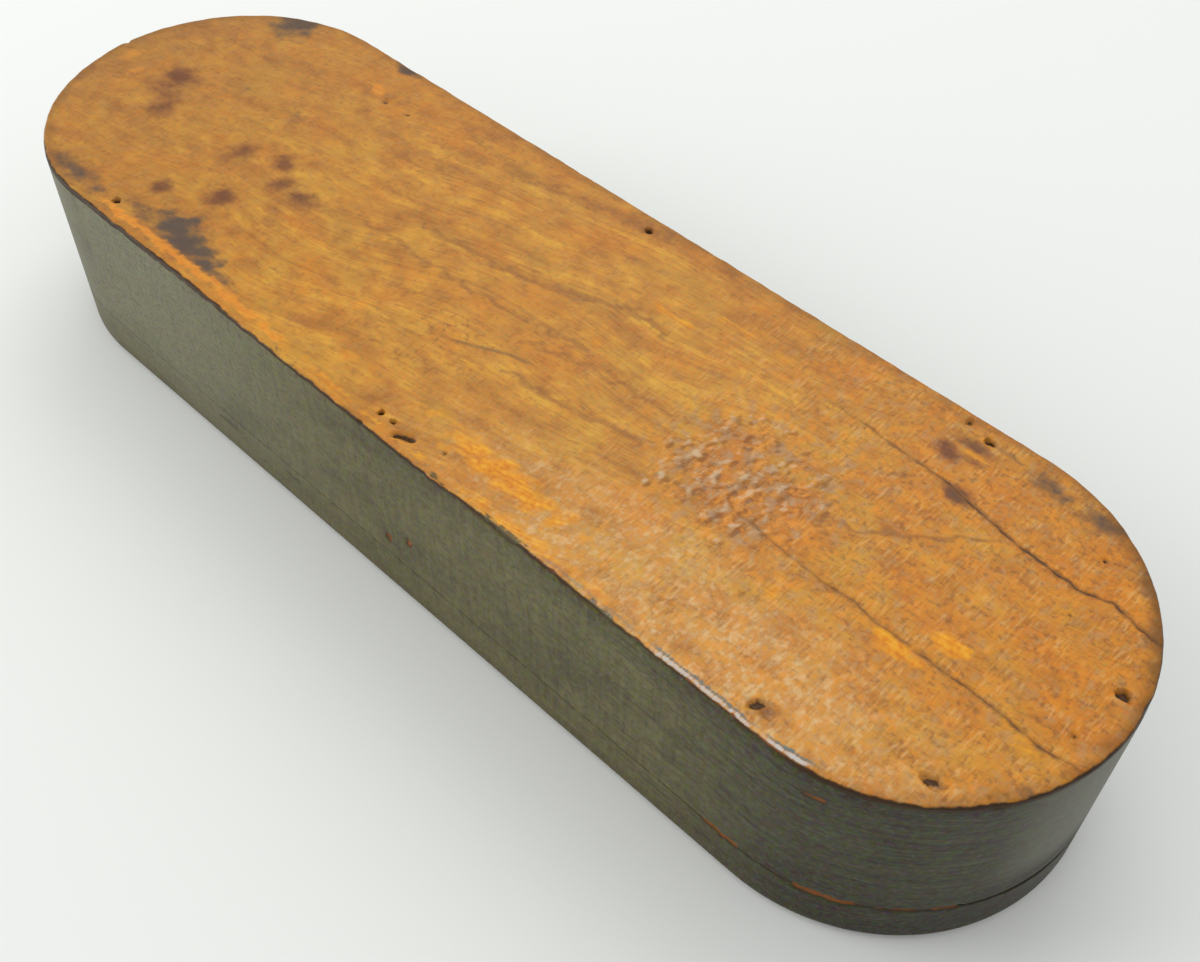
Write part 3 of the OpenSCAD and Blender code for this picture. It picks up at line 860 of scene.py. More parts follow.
# Darker growth lines, then scratches: width, strength, corners
FIGURE = [(0.9, 0.8, [(-27, 3.4), (-10, 5.6), (-3, 7.2), (0, 7.9)]),
          (0.9, 0.9, [(-1, 8.3), (4.5, 9.8), (8, 11.6), (15, 13.2), (20, 11.9)]),
          (0.8, 0.7, [(-40, -3.3), (-27, -1.8), (-22, -2.6), (-13, -1.9), (0, -0.6), (6, 0.6),
                      (14, 1.9)]),
          (0.7, 0.7, [(4, -4), (9, -2.6), (14, -1.2), (26, 0.4), (34, 1.0)]),
          (0.8, 0.8, [(6, -10.4), (16, -9.1), (24, -7.7), (33, -6)]),
          (1.3, 0.7, [(-42, 26.3), (-30, 24.9), (-22, 24.0), (-16, 26.1), (-8, 27.9), (6, 29.8)]),
          (0.7, 0.9, [(57, -0.3), (62.7, 2.2), (66.3, 5.1), (72, 9), (77.7, 14.4)]),
          (0.6, 0.7, [(59.5, 13.3), (62, 15.6), (64, 17)]),
          (0.6, 0.4, [(85.6, -5.6), (95.6, 0.4)]),
          (1.1, 0.4, [(-104, 13), (-80, 15), (-60, 17.4), (-44, 20), (-30, 20)]),
          (1.0, 0.4, [(-98, -12), (-80, -14), (-62, -12), (-40, -17), (-20, -20), (0, -18)])]
SCRATCHES = [(0.38, 1.0, [(-3.6, -11.4), (0, -9.8), (5.7, -7.2), (9.3, -6.4)]),
             (0.30, 0.5, [(10.0, -0.3), (10.6, -1.1)])]
# Smears of side paint, and chalky chips with a painted highlight, along the front edge: from x, to
# x, strength
SMEARS = [(-22, -19.6, 0.9), (-17, -15, 0.8), (13.6, 18, 0.8), (19, 22, 0.8), (24, 34, 0.9),
          (45, 50, 0.8)]
CHALK_AND_GLEAM = [(56.0, 72.5, 0.9), (74.5, 81.0, 1.0), (36, 54, 0.35)]
# Width of the dark line on the edge, below 0 where there is none: arc length, width
RIM_WIDTH = [(-135, -0.45), (-95, -0.40), (-86, 0.15), (-78, 0.40), (-70, 0.40), (-60, 0.28),
             (-50, 0.48), (-40, 0.50), (-28, 0.10), (0, 0.05), (15, 0.05), (25, 0.52), (40, 0.54),
             (52, 0.44), (74, 0.46), (80, 0.42), (87, 0.08), (112, 0.06), (122, 0.10),
             (130, -0.05), (142, -0.18), (174, -0.22), (185, -0.40), (320, -0.45)]
# Strength of a soft dark border inside the edge: arc length, strength
RIM_SHADE = [(-135, 0.30), (-100, 0.36), (-76, 0.25), (-60, 0.0), (74, 0.0), (84, 0.25),
             (112, 0.30), (126, 0.55), (140, 0.75), (156, 0.65), (172, 0.35), (185, 0.28),
             (320, 0.30)]
# Where the paint of the side ends, inside the middle of the rounded edge: arc length, distance
PAINT_LINE = [(-135, -0.35), (-95, -0.35), (-84, -0.25), (-60, -0.30), (-50, -0.15), (-40, -0.05),
              (-28, -0.30), (6, -0.30), (16, -0.08), (28, 0.14), (45, 0.24), (58, 0.34),
              (74, 0.28), (80, 0.05), (86, -0.55), (98, -0.62), (104, -0.60), (112, -0.55),
              (125, -0.45), (174, -0.35), (320, -0.35)]


def spans(x, rows, fade):
    """The strongest of several stretches along x, with ends softened over a run of 2 * fade."""
    found = np.zeros(np.shape(x))
    for first, last, strength in rows:
        ends = smooth(first - fade, first + fade, x) * smooth(last + fade, last - fade, x)
        found = np.maximum(found, strength * ends)
    return found


print("cracks", len(CRACKS), "growth lines", len(FIGURE))

# %% [markdown]
# In one patch the varnish lifts. It is crumpled like thin paper: sharp crooked crests run mostly
# across the box, and a few flakes have gone pale. The square of one minus the size of a noise has
# such crests, because it is sharp on the lines where the noise is zero. Three sizes are added.

# %% Lifted varnish
# Pale flakes: x, y, half length, half width, strength
FLAKES = [(38.4, -2.1, 0.95, 0.95, 0.95), (37.4, -5.1, 1.10, 1.05, 1.00),
          (33.8, -3.6, 0.70, 0.70, 0.90), (37.5, -9.2, 0.90, 0.90, 0.85),
          (36.6, -11.4, 0.55, 0.55, 0.80), (40.5, -5.3, 0.90, 0.95, 0.55),
          (45.6, -1.6, 1.50, 1.60, 0.85), (47.5, 0.0, 1.10, 1.15, 0.90),
          (46.0, -4.1, 0.75, 0.75, 0.85), (43.6, -5.1, 0.70, 0.70, 0.70),
          (46.6, -9.1, 1.15, 1.15, 0.95), (50.6, -8.8, 0.75, 1.20, 0.85),
          (50.6, -12.2, 0.60, 0.65, 0.80), (51.3, 0.2, 1.15, 1.45, 0.75),
          (50.5, 3.4, 0.65, 0.65, 0.70), (57.2, 1.4, 1.25, 1.20, 0.85),
          (54.0, 6.5, 0.70, 1.10, 0.80), (43.6, 9.1, 1.35, 1.30, 0.55),
          (39.4, 8.0, 0.65, 0.65, 0.75), (37.8, 4.0, 0.90, 0.90, 0.60),
          (37.2, 6.9, 0.80, 0.85, 0.75), (35.4, -2.5, 0.70, 0.85, 0.70),
          (50.6, -4.8, 0.75, 0.75, 0.50), (54.4, -3.6, 0.85, 0.85, 0.50),
          (56.9, -7.2, 1.60, 0.60, 0.50), (59.6, 5.3, 0.65, 0.60, 0.60)]
# Size in millimetres, share of the height, seed
CRUMPLES = [(3.4, 0.42, 47), (2.2, 0.36, 49), (1.5, 0.22, 50)]
CRUMPLE_LEAN, CRUMPLE_STRETCH = -0.12, 0.76


def crumpled(x, y):
    """Height from 0 to 1 of a crumpled film: the weighted sum of (1 - |n|)^2 over noises n of
    three sizes, longer across the box than along it."""
    total = 0
    for size, share, seed in CRUMPLES:
        noise = ripple(x - CRUMPLE_LEAN * y, CRUMPLE_STRETCH * y, size, seed)
        total = total + share * (1 - np.clip(np.abs(noise), 0, 1)) ** 2
    return total


print("flakes", len(FLAKES))

# %% [markdown]
# The board's profile starts on the middle line, runs out over the face, turns round the worn
# edge, and comes back under the board. Its edge number is the distance from the edge along this
# profile: positive on the face and negative on the side. The material uses it to let the paint
# of the side end in a ragged line on the rounded edge.

# %% Grid of the varnished board
EDGE_R = 0.55
RIGHT_STEP, LEFT_STEP = 0.43, 0.8
# Rows of the profile round the edge, down the side and back under the board
EDGE_ROWS, RIM_ROWS, BACK_ROWS = 6, 5, 4
# Steps are fine at the nails, the lifted varnish and the cracks, and wide where the board is plain
LONG_RUNS = [(-HALF, -69, 0.7), (-69, -65.4, 0.3), (-65.4, -1, 0.7), (-1, 9.6, 0.3),
             (9.6, 28, 0.6), (28, 61, 0.38), (61, HALF, 0.32)]
CROSS_RUNS = [(0, 12.4, 0.40), (12.4, 26.6, 0.43), (26.6, END_R - EDGE_R, 0.27)]
arc = np.linspace(np.pi / 2, 0, EDGE_ROWS + 1)[1:]
face_rho = spaced(CROSS_RUNS)
rho = np.concatenate([face_rho, END_R - EDGE_R + EDGE_R * np.cos(arc),
                      np.full(RIM_ROWS, END_R),
                      np.linspace(END_R, 0, BACK_ROWS + 1)[1:]])[None, :]
z = np.concatenate([np.full(face_rho.size, TOP_Z), TOP_Z - EDGE_R + EDGE_R * np.sin(arc),
                    np.linspace(TOP_Z - EDGE_R, BOARD_Z, RIM_ROWS + 1)[1:],
                    np.full(BACK_ROWS, BOARD_Z)])[None, :]
run = np.concatenate([[0], np.cumsum(np.hypot(np.diff(rho[0]), np.diff(z[0])))])[None, :]
edge = END_R - EDGE_R + EDGE_R * np.pi / 4 - run
s = stations(spaced(LONG_RUNS), RIGHT_STEP, LEFT_STEP)[:, None]
x, y = outline(s, rho)
face = smooth(-1.2, 0.0, edge) + 0 * x
coarse, fine = ripple(x, y, 3.2, 41), ripple(x, y, 1.4, 42)
print("board grid", x.shape)

# %% [markdown]
# Pits, gouge and cracks go into the wood. The pits are ellipses with a ragged border, and a crack
# is a narrow groove beside a low lip, because one side of the split wood has risen. Along it the
# crack opens and closes, as its table says.

# %% Pits and cracks
CRACK_WANDER, CRACK_FRAY, FAR_OFF = 0.09, 0.06, 9.0
GROOVE_W, LIP_AT, LIP_W = 0.36, 0.9, 0.6


def depth_in(x, y, rows):
    """1 in the middle of the nearest of several ellipses, 0 on its border, less outside it, and
    less in a shallow one."""
    reach = [np.hypot((x - cx) / rx, (y - cy) / ry) + 0.5 * (0.9 - deep)
             for cx, cy, rx, ry, deep in rows]
    return np.clip(1 - np.min(reach, axis=0), -1, 1)


hollow = blots(x, y, HOLLOWS, fine, 0.5)
pit = np.maximum(blots(x, y, PITS, 0.9 * fine, 0.35), hollow)
gouge = strokes(x, y, GOUGES, 0.5)
crack_height, crack_open = np.full(x.shape, FAR_OFF), np.zeros(x.shape)
wander = CRACK_WANDER * ripple(x, 0 * x, 3.5, 43)
broken = 0.75 + 0.35 * ripple(x, 0 * x, 3.0, 51)
for line, openness in zip(CRACKS, CRACK_OPEN):
    height = above_line(x, y, line) + wander + CRACK_FRAY * fine
    nearer = np.abs(height) < np.abs(crack_height)
    crack_height = np.where(nearer, height, crack_height)
    crack_open = np.where(nearer, broken * np.interp(x, *np.array(openness).T), crack_open)
crack_open = np.clip(crack_open, 0, 1)
groove = crack_open * np.exp(-(crack_height / GROOVE_W) ** 2)
lip = crack_open * np.exp(-((crack_height - LIP_AT) / LIP_W) ** 2)
print("widest crack", round(float(crack_open.max()), 2), "of full")

# %% [markdown]
# In the lifted patch the crumpled film and the pale flakes stand up from the wood. The flank says
# which way the film slopes along the box, so that the material can paint shade on one side of a
# crest and a highlight on the other. Each flake also has a painted shadow beside it.

# %% Lifted patch
PATCH_X, PATCH_Y, PATCH_RX, PATCH_RY = 46, -0.5, 13, 11.5
# Offset for the slope of the film, and the shift of each flake's painted shadow
FLANK, SHADOW_SHIFT_X, SHADOW_SHIFT_Y = 0.35, 0.7, -0.25
# Flakes are a little shorter along the box and wider across it than their table says
FLAKE_STRETCH = [1, 1, 0.85, 1.25, 1]

from_patch = np.hypot((x - PATCH_X) / PATCH_RX, (y - PATCH_Y) / PATCH_RY)
patch = smooth(1.5, 0.5, from_patch + 0.12 * coarse)
film = crumpled(x, y)
torn_up = 0.45 + 0.55 * smooth(-0.6, 0.5, ripple(x, y, 2.6, 53))
ridge = patch * torn_up * smooth(0.28, 0.80, film)
flank_lighting = patch * torn_up * 1.2 * (crumpled(x - FLANK, y) - crumpled(x + FLANK, y))
curled = 0.8 * fine + 0.5 * coarse
flakes = np.array(FLAKES) * FLAKE_STRETCH
flake = blots(x, y, flakes, curled, 0.6) * (0.45 + 0.55 * smooth(0.30, 0.70, film))
flake_shadow = blots(x - SHADOW_SHIFT_X, y - SHADOW_SHIFT_Y, flakes, curled, 0.6)
flake_shadow = np.clip(flake_shadow - 1.2 * flake, 0, 1)
print("highest crest", round(float(ridge.max()), 2), "of full")

# %% [markdown]
# All of it adds up to one depth below the face. The edge is worn too: small bites go inwards from
# it, unevenly, with a deeper nick here and there.

# %% Relief of the varnished board
GOUGE_DEPTH, GROOVE_DEPTH, WAVINESS = 0.75, 0.17, 0.03
LIP_HEIGHT, RIDGE_HEIGHT, FLAKE_HEIGHT = 0.05, 0.17, 0.11
# Nicks in the edge: arc length, half length, depth
NICKS = [(309.9, 2.0, 0.08), (372.8, 0.8, 0.3), (0.0, 0.5, 0.2), (13.6, 0.5, 0.2),
         (104.0, 1.5, 0.25), (88.0, 2.5, 0.15), (130.0, 2.0, 0.15), (-60.0, 3.0, 0.1)]

sink = (pit + GOUGE_DEPTH * gouge + GROOVE_DEPTH * groove - LIP_HEIGHT * lip
        - RIDGE_HEIGHT * ridge - FLAKE_HEIGHT * flake + WAVINESS * coarse
        + WAVINESS * ripple(x, y, 11, 44))
bite = 0.03 + 0.03 * ripple(s, 0 * s, 7, 45) + 0.02 * ripple(s, 0 * s, 2.4, 46)
for middle, half, depth in NICKS:
    away = np.abs(unwrap(s) - unwrap(np.array(middle)))
    bite = bite + depth * smooth(half, 0.3 * half, away)
bite = bite * np.exp(-edge ** 2)
board_x, board_y = outline(s, rho - bite)
board_z = z - face * sink - 0.5 * bite * face
print("deepest relief", round(float((face * sink).max()), 2), "mm")

# %% [markdown]
# The material needs to know where each mark is. Every mark becomes a number at each point of the
# grid, stored as an attribute of the mesh. That keeps a mark in its place on the board, whichever
# way the camera looks.

# %% Masks of the varnished board
# Middle and half sizes of the front right area where a sheen and glints are painted
GLINT_X, GLINT_Y, GLINT_RX, GLINT_RY = 55, -25, 38, 10.5


def along_edge(table):
    """Value at each point of the grid of a table (arc length, value)."""
    return np.interp(unwrap(s), *np.array(table).T) + 0 * x


strip = np.abs(above_line(x, y, BARE_STRIP) + 0.35 * coarse + 0.35 * fine)
strip = smooth(1.3, 0.3, strip / np.interp(x, *np.array(STRIP_WIDTH).T))
strip = strip * spans(x, STRIP_SPANS, 4.0)
strip = strip * smooth(-1.2, 0.4, coarse + 1.6 * smooth(30, -40, x)) * (y < 0)
front = (y < 0) + 0 * x
glint = smooth(1.7, 0.3, np.hypot((x - GLINT_X) / GLINT_RX, (y - GLINT_Y) / GLINT_RY))
paler_places = smooth(-0.5, 0.9, ripple(x, y, 5.0, 52) + 0.7 * smooth(48, 34, x))
scraped = 0.30 + 0.95 * smooth(-0.7, 0.9, ripple(x, y, 6.0, 54))
rubbed = np.exp(-((x + 5) / 9) ** 2 - ((y + 11) / 5) ** 2)
holes = np.maximum(depth_in(x, y, PITS), 2 * gouge - 1)
marks = {"edge": edge + 0 * x,
         "outside": (np.arange(rho.size) < rho.size - BACK_ROWS)[None, :] + 0 * x,
         "figure": strokes(x, y + 0.5 * coarse, FIGURE),
         "scratch": strokes(x, y, SCRATCHES, 1.5),
         "stain": blots(x, y, STAINS, 0.7 * coarse, 0.95),
         "soot": blots(x, y, SOOT, coarse, 0.85) * (1 - 0.9 * strip),
         "bare": np.maximum(blots(x, y, BARE, coarse, 0.7), strip),
         "smear": spans(x, SMEARS, 0.6) * front, "chalk_and_gleam": spans(x, CHALK_AND_GLEAM, 1.6) * front,
         "rim": along_edge(RIM_WIDTH), "line": along_edge(PAINT_LINE),
         "shade": along_edge(RIM_SHADE),
         "flake": flake, "flake_shadow": flake_shadow, "patch": patch, "crest": ridge,
         "flank_lighting": flank_lighting, "pale": patch * (0.08 + 0.44 * paler_places), "glint": glint,
         "hue": 0.12 + 0.40 * smooth(20, 55, x) + 0.40 * patch + 0.25 * glint,
         "saw_and_glint": (0.07 + 0.20 * smooth(10, 50, x) + 0.10 * glint) * scraped,
         "broad": 0.34 + 0.42 * smooth(20, 50, x),
         "fleck": 0.22 + 0.29 * smooth(35, 62, x) + 0.30 * rubbed,
         "crack": np.clip(crack_height, -4, 4), "crack_open": crack_open,
         "hole": np.maximum(holes, hollow - 0.66)}
print("masks:", ", ".join(marks))

# %% [markdown]
# The varnish is an old shellac on the same pale wood: warm orange brown, satin, browner at the
# left and more orange at the right. It is worn through to bright wood along the front edge. Fine
# ridges run across the board where it was scraped. At the front right a soft sheen and the glints
# of these ridges are painted into the colour as highlights, and the light saw marks are partly
# painted glints. The material lays the stored marks over the wood one after another, each with a
# border torn by noise.

# %% Varnished board material
RING_TURNS, SPARKLE_LEVEL, LIFTED_LEVEL = 34.0, 0.75, 0.62
varnished, tree = new_material("worn_shellac_on_hardwood")
wood = wood_pattern(tree)
stored = {name: put(tree, "Attribute", out="Fac", attribute_name=name) for name in marks}
x_mm = put(tree, "SeparateXYZ", {"Vector": wood["grain"]}, out="X")
y_mm = put(tree, "SeparateXYZ", {"Vector": wood["grain"]}, out="Y")
wear = patterns(tree, wood["grain"], {"glints": (0.80, 1.05, 3.0), "crumbs": (0.60, 0.75, 4.0),
                                      "tints": (1.5, 2.0, 4.0), "veils": (5.0, 3.2, 3.0)})
# Where the painted sheen and glints lie, broken by a wide noise
sheen_zone = put(tree, "MapRange", {"Value": wear["veils"], "From Min": 0.20, "From Max": 0.60,
                              "To Max": stored["glint"]})
sparkle = put(tree, "Math", {0: sheen_zone, 1: SPARKLE_LEVEL}, operation="MULTIPLY")
sparks = weighted(tree, [(wear["glints"], 0.70), (wear["tints"], 0.30)])
blurred = put(tree, "MapRange", {"Value": x_mm, "From Min": -15, "From Max": -65,
                                 "To Max": 0.75})
threads = put(tree, "Mix", {"Factor": blurred, "A": wood["fibres"], "B": wear["tints"]})
tone = weighted(tree, [(wood["bands"], 0.34), (threads, 0.20), (wood["mottles"], 0.46)])
colour = put(tree, "ValToRGB", {"Fac": tone},
             stops=[(0.34, "935B22"), (0.66, "DCA736"), (0.45, "B37728"), (0.55, "C78B2E")])
lifted = put(tree, "Math", {0: stored["patch"], 1: LIFTED_LEVEL}, operation="MULTIPLY")
rings = put(tree, "Math", {0: wood["bands"], 1: RING_TURNS}, operation="MULTIPLY")
rings = put(tree, "Math", {0: rings}, operation="SINE")
# First growth rings and the change along and across the board, then ever finer patterns
colour = over(tree, colour, [
    (rings, 0.2, 1.0, 0.22, "8A5520"), (wood["hues"], 0.50, 0.70, stored["broad"], "C97412"),
    (wood["hues"], 0.48, 0.32, stored["broad"], "CDA036"), (x_mm, -25, -90, 0.40, "9A672E"),
    (x_mm, -92, -106, 0.45, "8A5A2A"), (x_mm, 30, 85, 0.45, "C67610"),
    (y_mm, 14, 30, 0.24, "B06A1C"), (wood["pores"], 0.56, 0.72, 0.30, "774818"),
    (x_mm, 99, 106, 0.40, "BC6C20"),
    (wear["veils"], 0.48, 0.30, stored["saw_and_glint"], "904E18"),
    (wear["veils"], 0.52, 0.70, stored["saw_and_glint"], "DCA444"),
    (wear["tints"], 0.52, 0.68, stored["hue"], "DA8818"),
    (wear["tints"], 0.48, 0.32, stored["hue"], "B08656"),
    (wear["crumbs"], 0.52, 0.66, 0.22, "D07430"), (wear["crumbs"], 0.48, 0.34, 0.22, "A68C46"),
    (wood["flecks"], 0.50, 0.72, stored["fleck"], "7C4E26"),
    # Saw marks: dark dashes, and light dashes that are partly painted glints
    (wood["hatching"], 0.46, 0.29, stored["saw_and_glint"], "7E4A1C"),
    (wood["hatching"], 0.53, 0.70, stored["saw_and_glint"], "DDB272"),
    (torn(tree, stored["figure"], wood["flecks"], 0.8), 0.1, 0.9, 0.50, "7E4F26"),
    (torn(tree, stored["patch"], wood["mottles"], 2.4), 0.45, 1.10, 0.30, "A4602A"),
    (wear["tints"], 0.51, 0.37, lifted, "AC865E"), (wear["tints"], 0.53, 0.66, lifted, "D28C36"),
    # A painted sheen, then painted glints in orange and cream, at the front right
    (sheen_zone, 0.0, 1.0, 0.24, "DDAE6C"),
    (sparks, 0.49, 0.33, sparkle, "D48C1E"), (sparks, 0.47, 0.68, sparkle, "D4B684")])
print("varnish over the wood")

# %% [markdown]
# Over the varnish come its faults, in the order in which they happened: wear to the bright wood,
# stains and soot, the lifted film with its painted shade, shadows and highlights and its pale
# flakes, and last the cracks and nail holes, which nothing covers.

# %% Stains and worn places of the varnished board
FLANK_SHADE_LEVEL = 0.46
tatters = weighted(tree, [(wood["fibres"], 0.45), (wear["tints"], 0.55)])
bare = put(tree, "MapRange", {"Value": torn(tree, stored["bare"], tatters, 0.95),
                              "From Min": 0.25, "From Max": 0.8, "To Max": 0.85})
soot = torn(tree, stored["soot"], wood["flecks"], 0.6)
bare_tone = weighted(tree, [(wood["fibres"], 0.4), (wood["flecks"], 0.6)])
bare_wood = put(tree, "ValToRGB", {"Fac": bare_tone},
                stops=[(0.38, "CE7812"), (0.62, "EEAC2C"), (0.5, "E0921C")])
bare_wood = over(tree, bare_wood, [(x_mm, 10, -40, 0.55, "D38332")])
colour = put(tree, "Mix", {"Factor": bare, "A": colour, "B": bare_wood}, data_type="RGBA")
stain = torn(tree, stored["stain"], wood["flecks"], 0.45)
flank_shade = put(tree, "Math", {0: stored["patch"], 1: FLANK_SHADE_LEVEL}, operation="MULTIPLY")
slope = torn(tree, stored["flank_lighting"], wear["crumbs"], 0.25)
colour = over(tree, colour, [
    (stain, 0.0, 0.95, 0.70, "723E24"), (stain, 0.55, 1.05, 0.50, "502B1E"),
    (soot, 0.0, 0.9, 0.70, "5E4A38"), (soot, 0.40, 1.15, 0.70, "444040"),
    (stored["scratch"], 0.0, 1.0, 0.55, "54452F"),
    # Painted shade on the far side of each crest, a painted shadow beside each flake, pale flakes,
    # a painted highlight on the near side of each crest, and pale crests
    (slope, 0.04, 0.36, flank_shade, "6A3610"),
    (torn(tree, stored["flake_shadow"], wear["crumbs"], 0.5), 0.15, 0.80, 0.60, "6A3C18"),
    (torn(tree, stored["flake"], wear["crumbs"], 0.7), 0.20, 0.90, 0.66, "CDB896"),
    (slope, -0.04, -0.36, stored["pale"], "CDB596"),
    (torn(tree, stored["crest"], wear["crumbs"], 1.0), 0.35, 1.20, stored["pale"], "CBB392")])
gap = put(tree, "Math", {0: stored["crack"]}, operation="ABSOLUTE")
hole = torn(tree, stored["hole"], wood["flecks"], 0.8)
colour = over(tree, colour, [
    (torn(tree, gap, wear["crumbs"], 0.9), 0.70, 0.15, stored["crack_open"], "87561F"),
    (torn(tree, gap, wood["flecks"], 0.55), 0.28, 0.02, stored["crack_open"], "46290F"),
    (hole, -0.55, 0.0, 0.45, "7A4E22"), (hole, -0.05, 0.35, 0.90, "341F0C")])
print("marks over the varnish")

# %% [markdown]
# On the rounded edge the varnish ends and the paint of the side begins. A dark line lies between
# them on most of the front. Near the right end the paint has chipped to a chalky ground, which
# with a thin painted highlight makes a pale line on the edge, and a few smears of paint reach up
# onto the face. All are bands at some distance from the edge, torn by noise.

# %% Edge of the varnished board
flat = put(tree, "Attribute", out="Vector", attribute_name="unrolled")
ragged = patterns(tree, flat, {"edge": (2.2, 2.2, 4.0), "teeth": (0.38, 1.6, 2.0)})
from_edge = torn(tree, stored["edge"], ragged["edge"], 0.9)
past_rim = put(tree, "Math", {0: from_edge, 1: stored["rim"]}, operation="SUBTRACT")
from_rim = torn(tree, stored["edge"], wood["mottles"], 3.5)
colour = over(tree, colour, [(from_rim, 2.8, 0.2, stored["shade"], "5C3C16"),
                             (past_rim, 0.26, -0.12, 0.94, "1C1006")])
paint_colour, paint_rough, paint_relief = paint_finish(tree)
from_line = put(tree, "Math", {0: from_edge, 1: stored["line"]}, operation="SUBTRACT")
side_paint = put(tree, "MapRange", {"Value": from_line, "From Min": 0.0, "From Max": -0.30})
colour = put(tree, "Mix", {"Factor": side_paint, "A": colour, "B": paint_colour},
             data_type="RGBA")
band = {}
for name, middle in (("smear", 0.75), ("chalk_and_gleam", 0.80), ("slate", 1.30), ("orange", 0.35)):
    apart = put(tree, "Math", {0: from_edge, 1: middle}, operation="SUBTRACT")
    band[name] = put(tree, "Math", {0: apart}, operation="ABSOLUTE")
chalk_gleam = put(tree, "MapRange", {"Value": band["chalk_and_gleam"], "From Min": 0.46, "From Max": 0.15,
                                "To Max": stored["chalk_and_gleam"]})
smeared = put(tree, "MapRange", {"Value": band["smear"], "From Min": 0.75, "From Max": 0.40,
                                 "To Max": stored["smear"]})
colour = over(tree, colour, [
    (torn(tree, smeared, ragged["edge"], 2.0), 0.70, 1.0, 0.85, "4A472E"),
    (torn(tree, band["slate"], ragged["teeth"], 0.7), 0.34, 0.02, stored["chalk_and_gleam"], "66706C"),
    # The pale band is chalky chips with a painted highlight on the rounded edge
    (torn(tree, chalk_gleam, ragged["teeth"], 2.4), 0.25, 1.05, chalk_gleam, "BCBAB5"),
    (torn(tree, band["orange"], ragged["edge"], 1.2), 0.10, -0.1, stored["chalk_and_gleam"], "7E4418")])
print("paint ends on the edge")

# %% [markdown]
# Shellac is satin, and duller where it is worn or sooty. Under the board the wood is bare. Fibres,
# pores, saw marks and the crumbs of the lifted patch are too small for the grid, so they are bump.

# %% Gloss and relief of the varnished board
UNDER_ROUGH = 0.66
bare_colour, _ = bare_finish(tree, wood)
colour = put(tree, "Mix", {"Factor": stored["outside"], "A": bare_colour, "B": colour},
             data_type="RGBA")
rough = weighted(tree, [(wood["fibres"], 0.20), (bare, 0.15), (stored["soot"], 0.15),
                        (stored["glint"], -0.03), (stored["outside"], -0.35)])
rough = put(tree, "Math", {0: rough, 1: UNDER_ROUGH}, operation="ADD")
rough = put(tree, "Mix", {"Factor": side_paint, "A": rough, "B": paint_rough})
ridges = put(tree, "Math", {0: sparks, 1: sheen_zone}, operation="MULTIPLY")
crumbled = put(tree, "Math", {0: wear["crumbs"], 1: stored["patch"]}, operation="MULTIPLY")
relief = weighted(tree, [(wood["fibres"], 0.04), (wood["pores"], -0.03), (wood["flecks"], -0.03),
                         (wood["hatching"], 0.03), (ridges, 0.04), (crumbled, 0.10)])
relief = put(tree, "Mix", {"Factor": side_paint, "A": relief, "B": paint_relief})
close_material(tree, colour, rough, relief, DULL_GLOSS)
print("material", varnished.name)

# %% [markdown]
# The grid, its marks and the material now make the board. The patterns read the flat places of the
# grid and not the sunk ones, so that a pit doesn't bend the grain.

# %% Varnished board
points = np.stack([board_x, board_y, board_z], axis=-1).reshape(-1, 3)
marks = {name: values.ravel() for name, values in marks.items()}
marks["grain"] = np.stack([x, y, z + 0 * x], axis=-1).reshape(-1, 3)
marks["unrolled"] = np.stack([s + 0 * x, z + 0 * x, rho + 0 * x], axis=-1).reshape(-1, 3)
add_piece("top_board_dressed", "top_board", points, grid_faces(*x.shape, close_rows=True), marks,
          varnished)

# %% [markdown]
# The nails are drawn iron wire. Under the varnish they rusted to a dark brown with a few brighter
# spots. Their CAD shape is right, so they only get this finish.

# %% Nails
RUST_BUMP = 0.15 / TO_MM


def object_mm(tree):
    """Object coordinates in millimetres."""
    place = put(tree, "TexCoord", out="Object")
    return put(tree, "VectorMath", {0: place, 1: (TO_MM, TO_MM, TO_MM)}, operation="MULTIPLY")


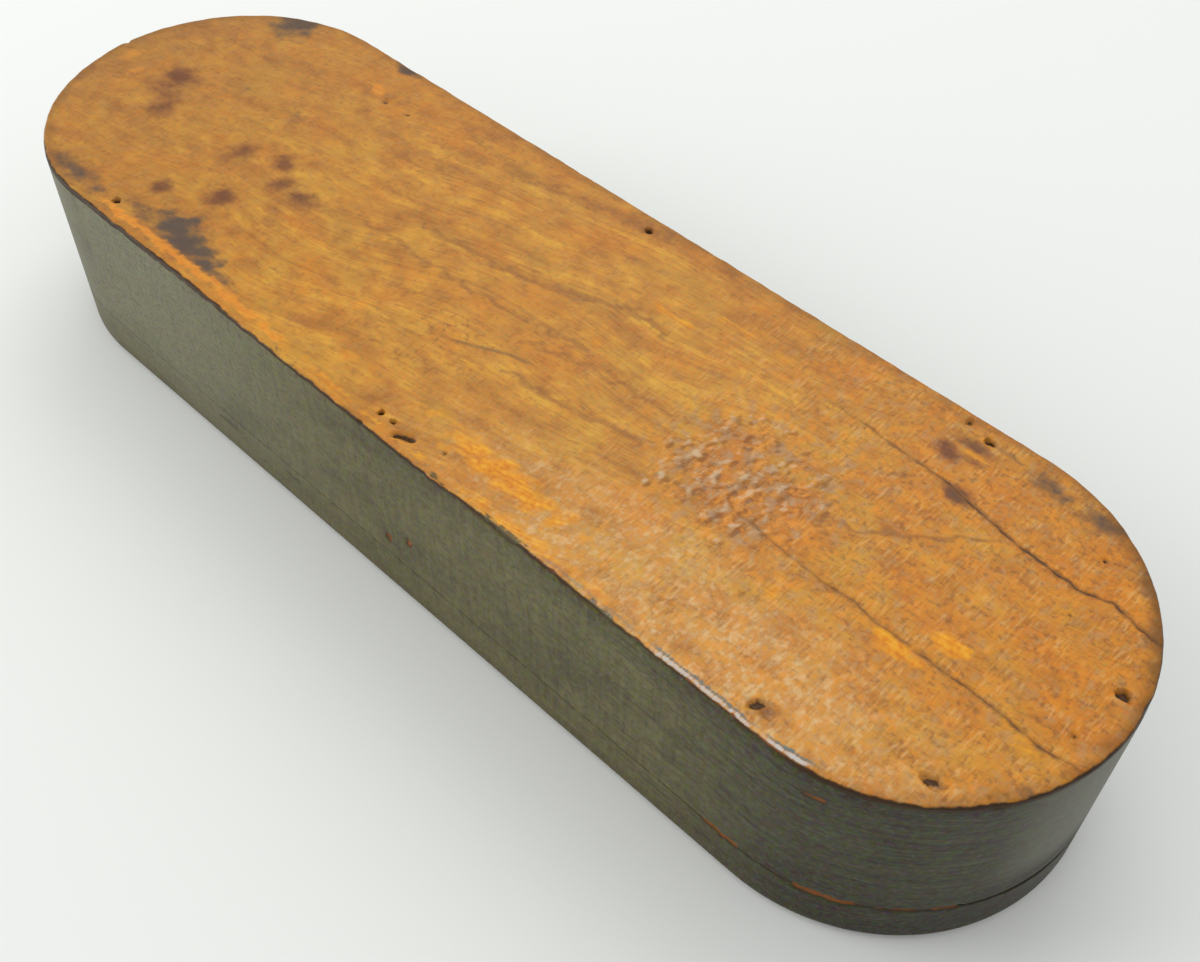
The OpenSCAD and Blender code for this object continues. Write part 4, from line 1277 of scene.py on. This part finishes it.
rusted_iron, tree = new_material("rusted_iron_wire")
place = object_mm(tree)
rust = put(tree, "TexNoise", {"Vector": place, "Scale": 1.6, "Detail": 4.0})
colour = put(tree, "ValToRGB", {"Fac": rust},
             stops=[(0.35, "20160F"), (0.70, "6B4326"), (0.52, "3B2717")])
rough = put(tree, "Math", {0: rust, 1: 0.4, 2: 0.5}, operation="MULTIPLY_ADD")
bump = put(tree, "Bump", {"Height": rust, "Distance": RUST_BUMP, "Strength": 1.0})
shader = put(tree, "BsdfPrincipled", {"Base Color": colour, "Roughness": rough, "Metallic": 0.3,
                                      "Normal": bump})
put(tree, "OutputMaterial", {"Surface": shader})


def dress(nodes, material):
    """Gives CAD pieces that keep their shape a finish."""
    for node in nodes:
        mesh = frame["nodes"][node].data
        mesh.materials.clear()
        mesh.materials.append(material)
    print(material.name, "on", ", ".join(nodes))


dress(["top_board_nails", "lower_board_nails"], rusted_iron)

# %% [markdown]
# The hinges are folded from thin sheet brass. Tarnish dulls the metal to brown in clouds, and fine
# lines are brighter and smoother, where it was rubbed. Their CAD shape is right too.

# %% Hinges
RUB_BUMP = 0.04 / TO_MM
tarnished_brass, tree = new_material("tarnished_sheet_brass")
place = object_mm(tree)
cloud = put(tree, "TexNoise", {"Vector": place, "Scale": 0.35, "Detail": 5.0})
rub = patterns(tree, place, {"rub": (6, 0.35, 2.0)})["rub"]
tone = weighted(tree, [(cloud, 0.7), (rub, 0.3)])
colour = put(tree, "ValToRGB", {"Fac": tone},
             stops=[(0.32, "5A4526"), (0.66, "C09A52"), (0.5, "8E7038")])
rough = put(tree, "Math", {0: tone, 1: -0.5, 2: 0.7}, operation="MULTIPLY_ADD")
bump = put(tree, "Bump", {"Height": rub, "Distance": RUB_BUMP, "Strength": 1.0})
shader = put(tree, "BsdfPrincipled", {"Base Color": colour, "Roughness": rough, "Metallic": 1.0,
                                      "Normal": bump})
put(tree, "OutputMaterial", {"Surface": shader})
dress([n for n in frame["nodes"] if "hinge" in n or "leaf" in n], tarnished_brass)
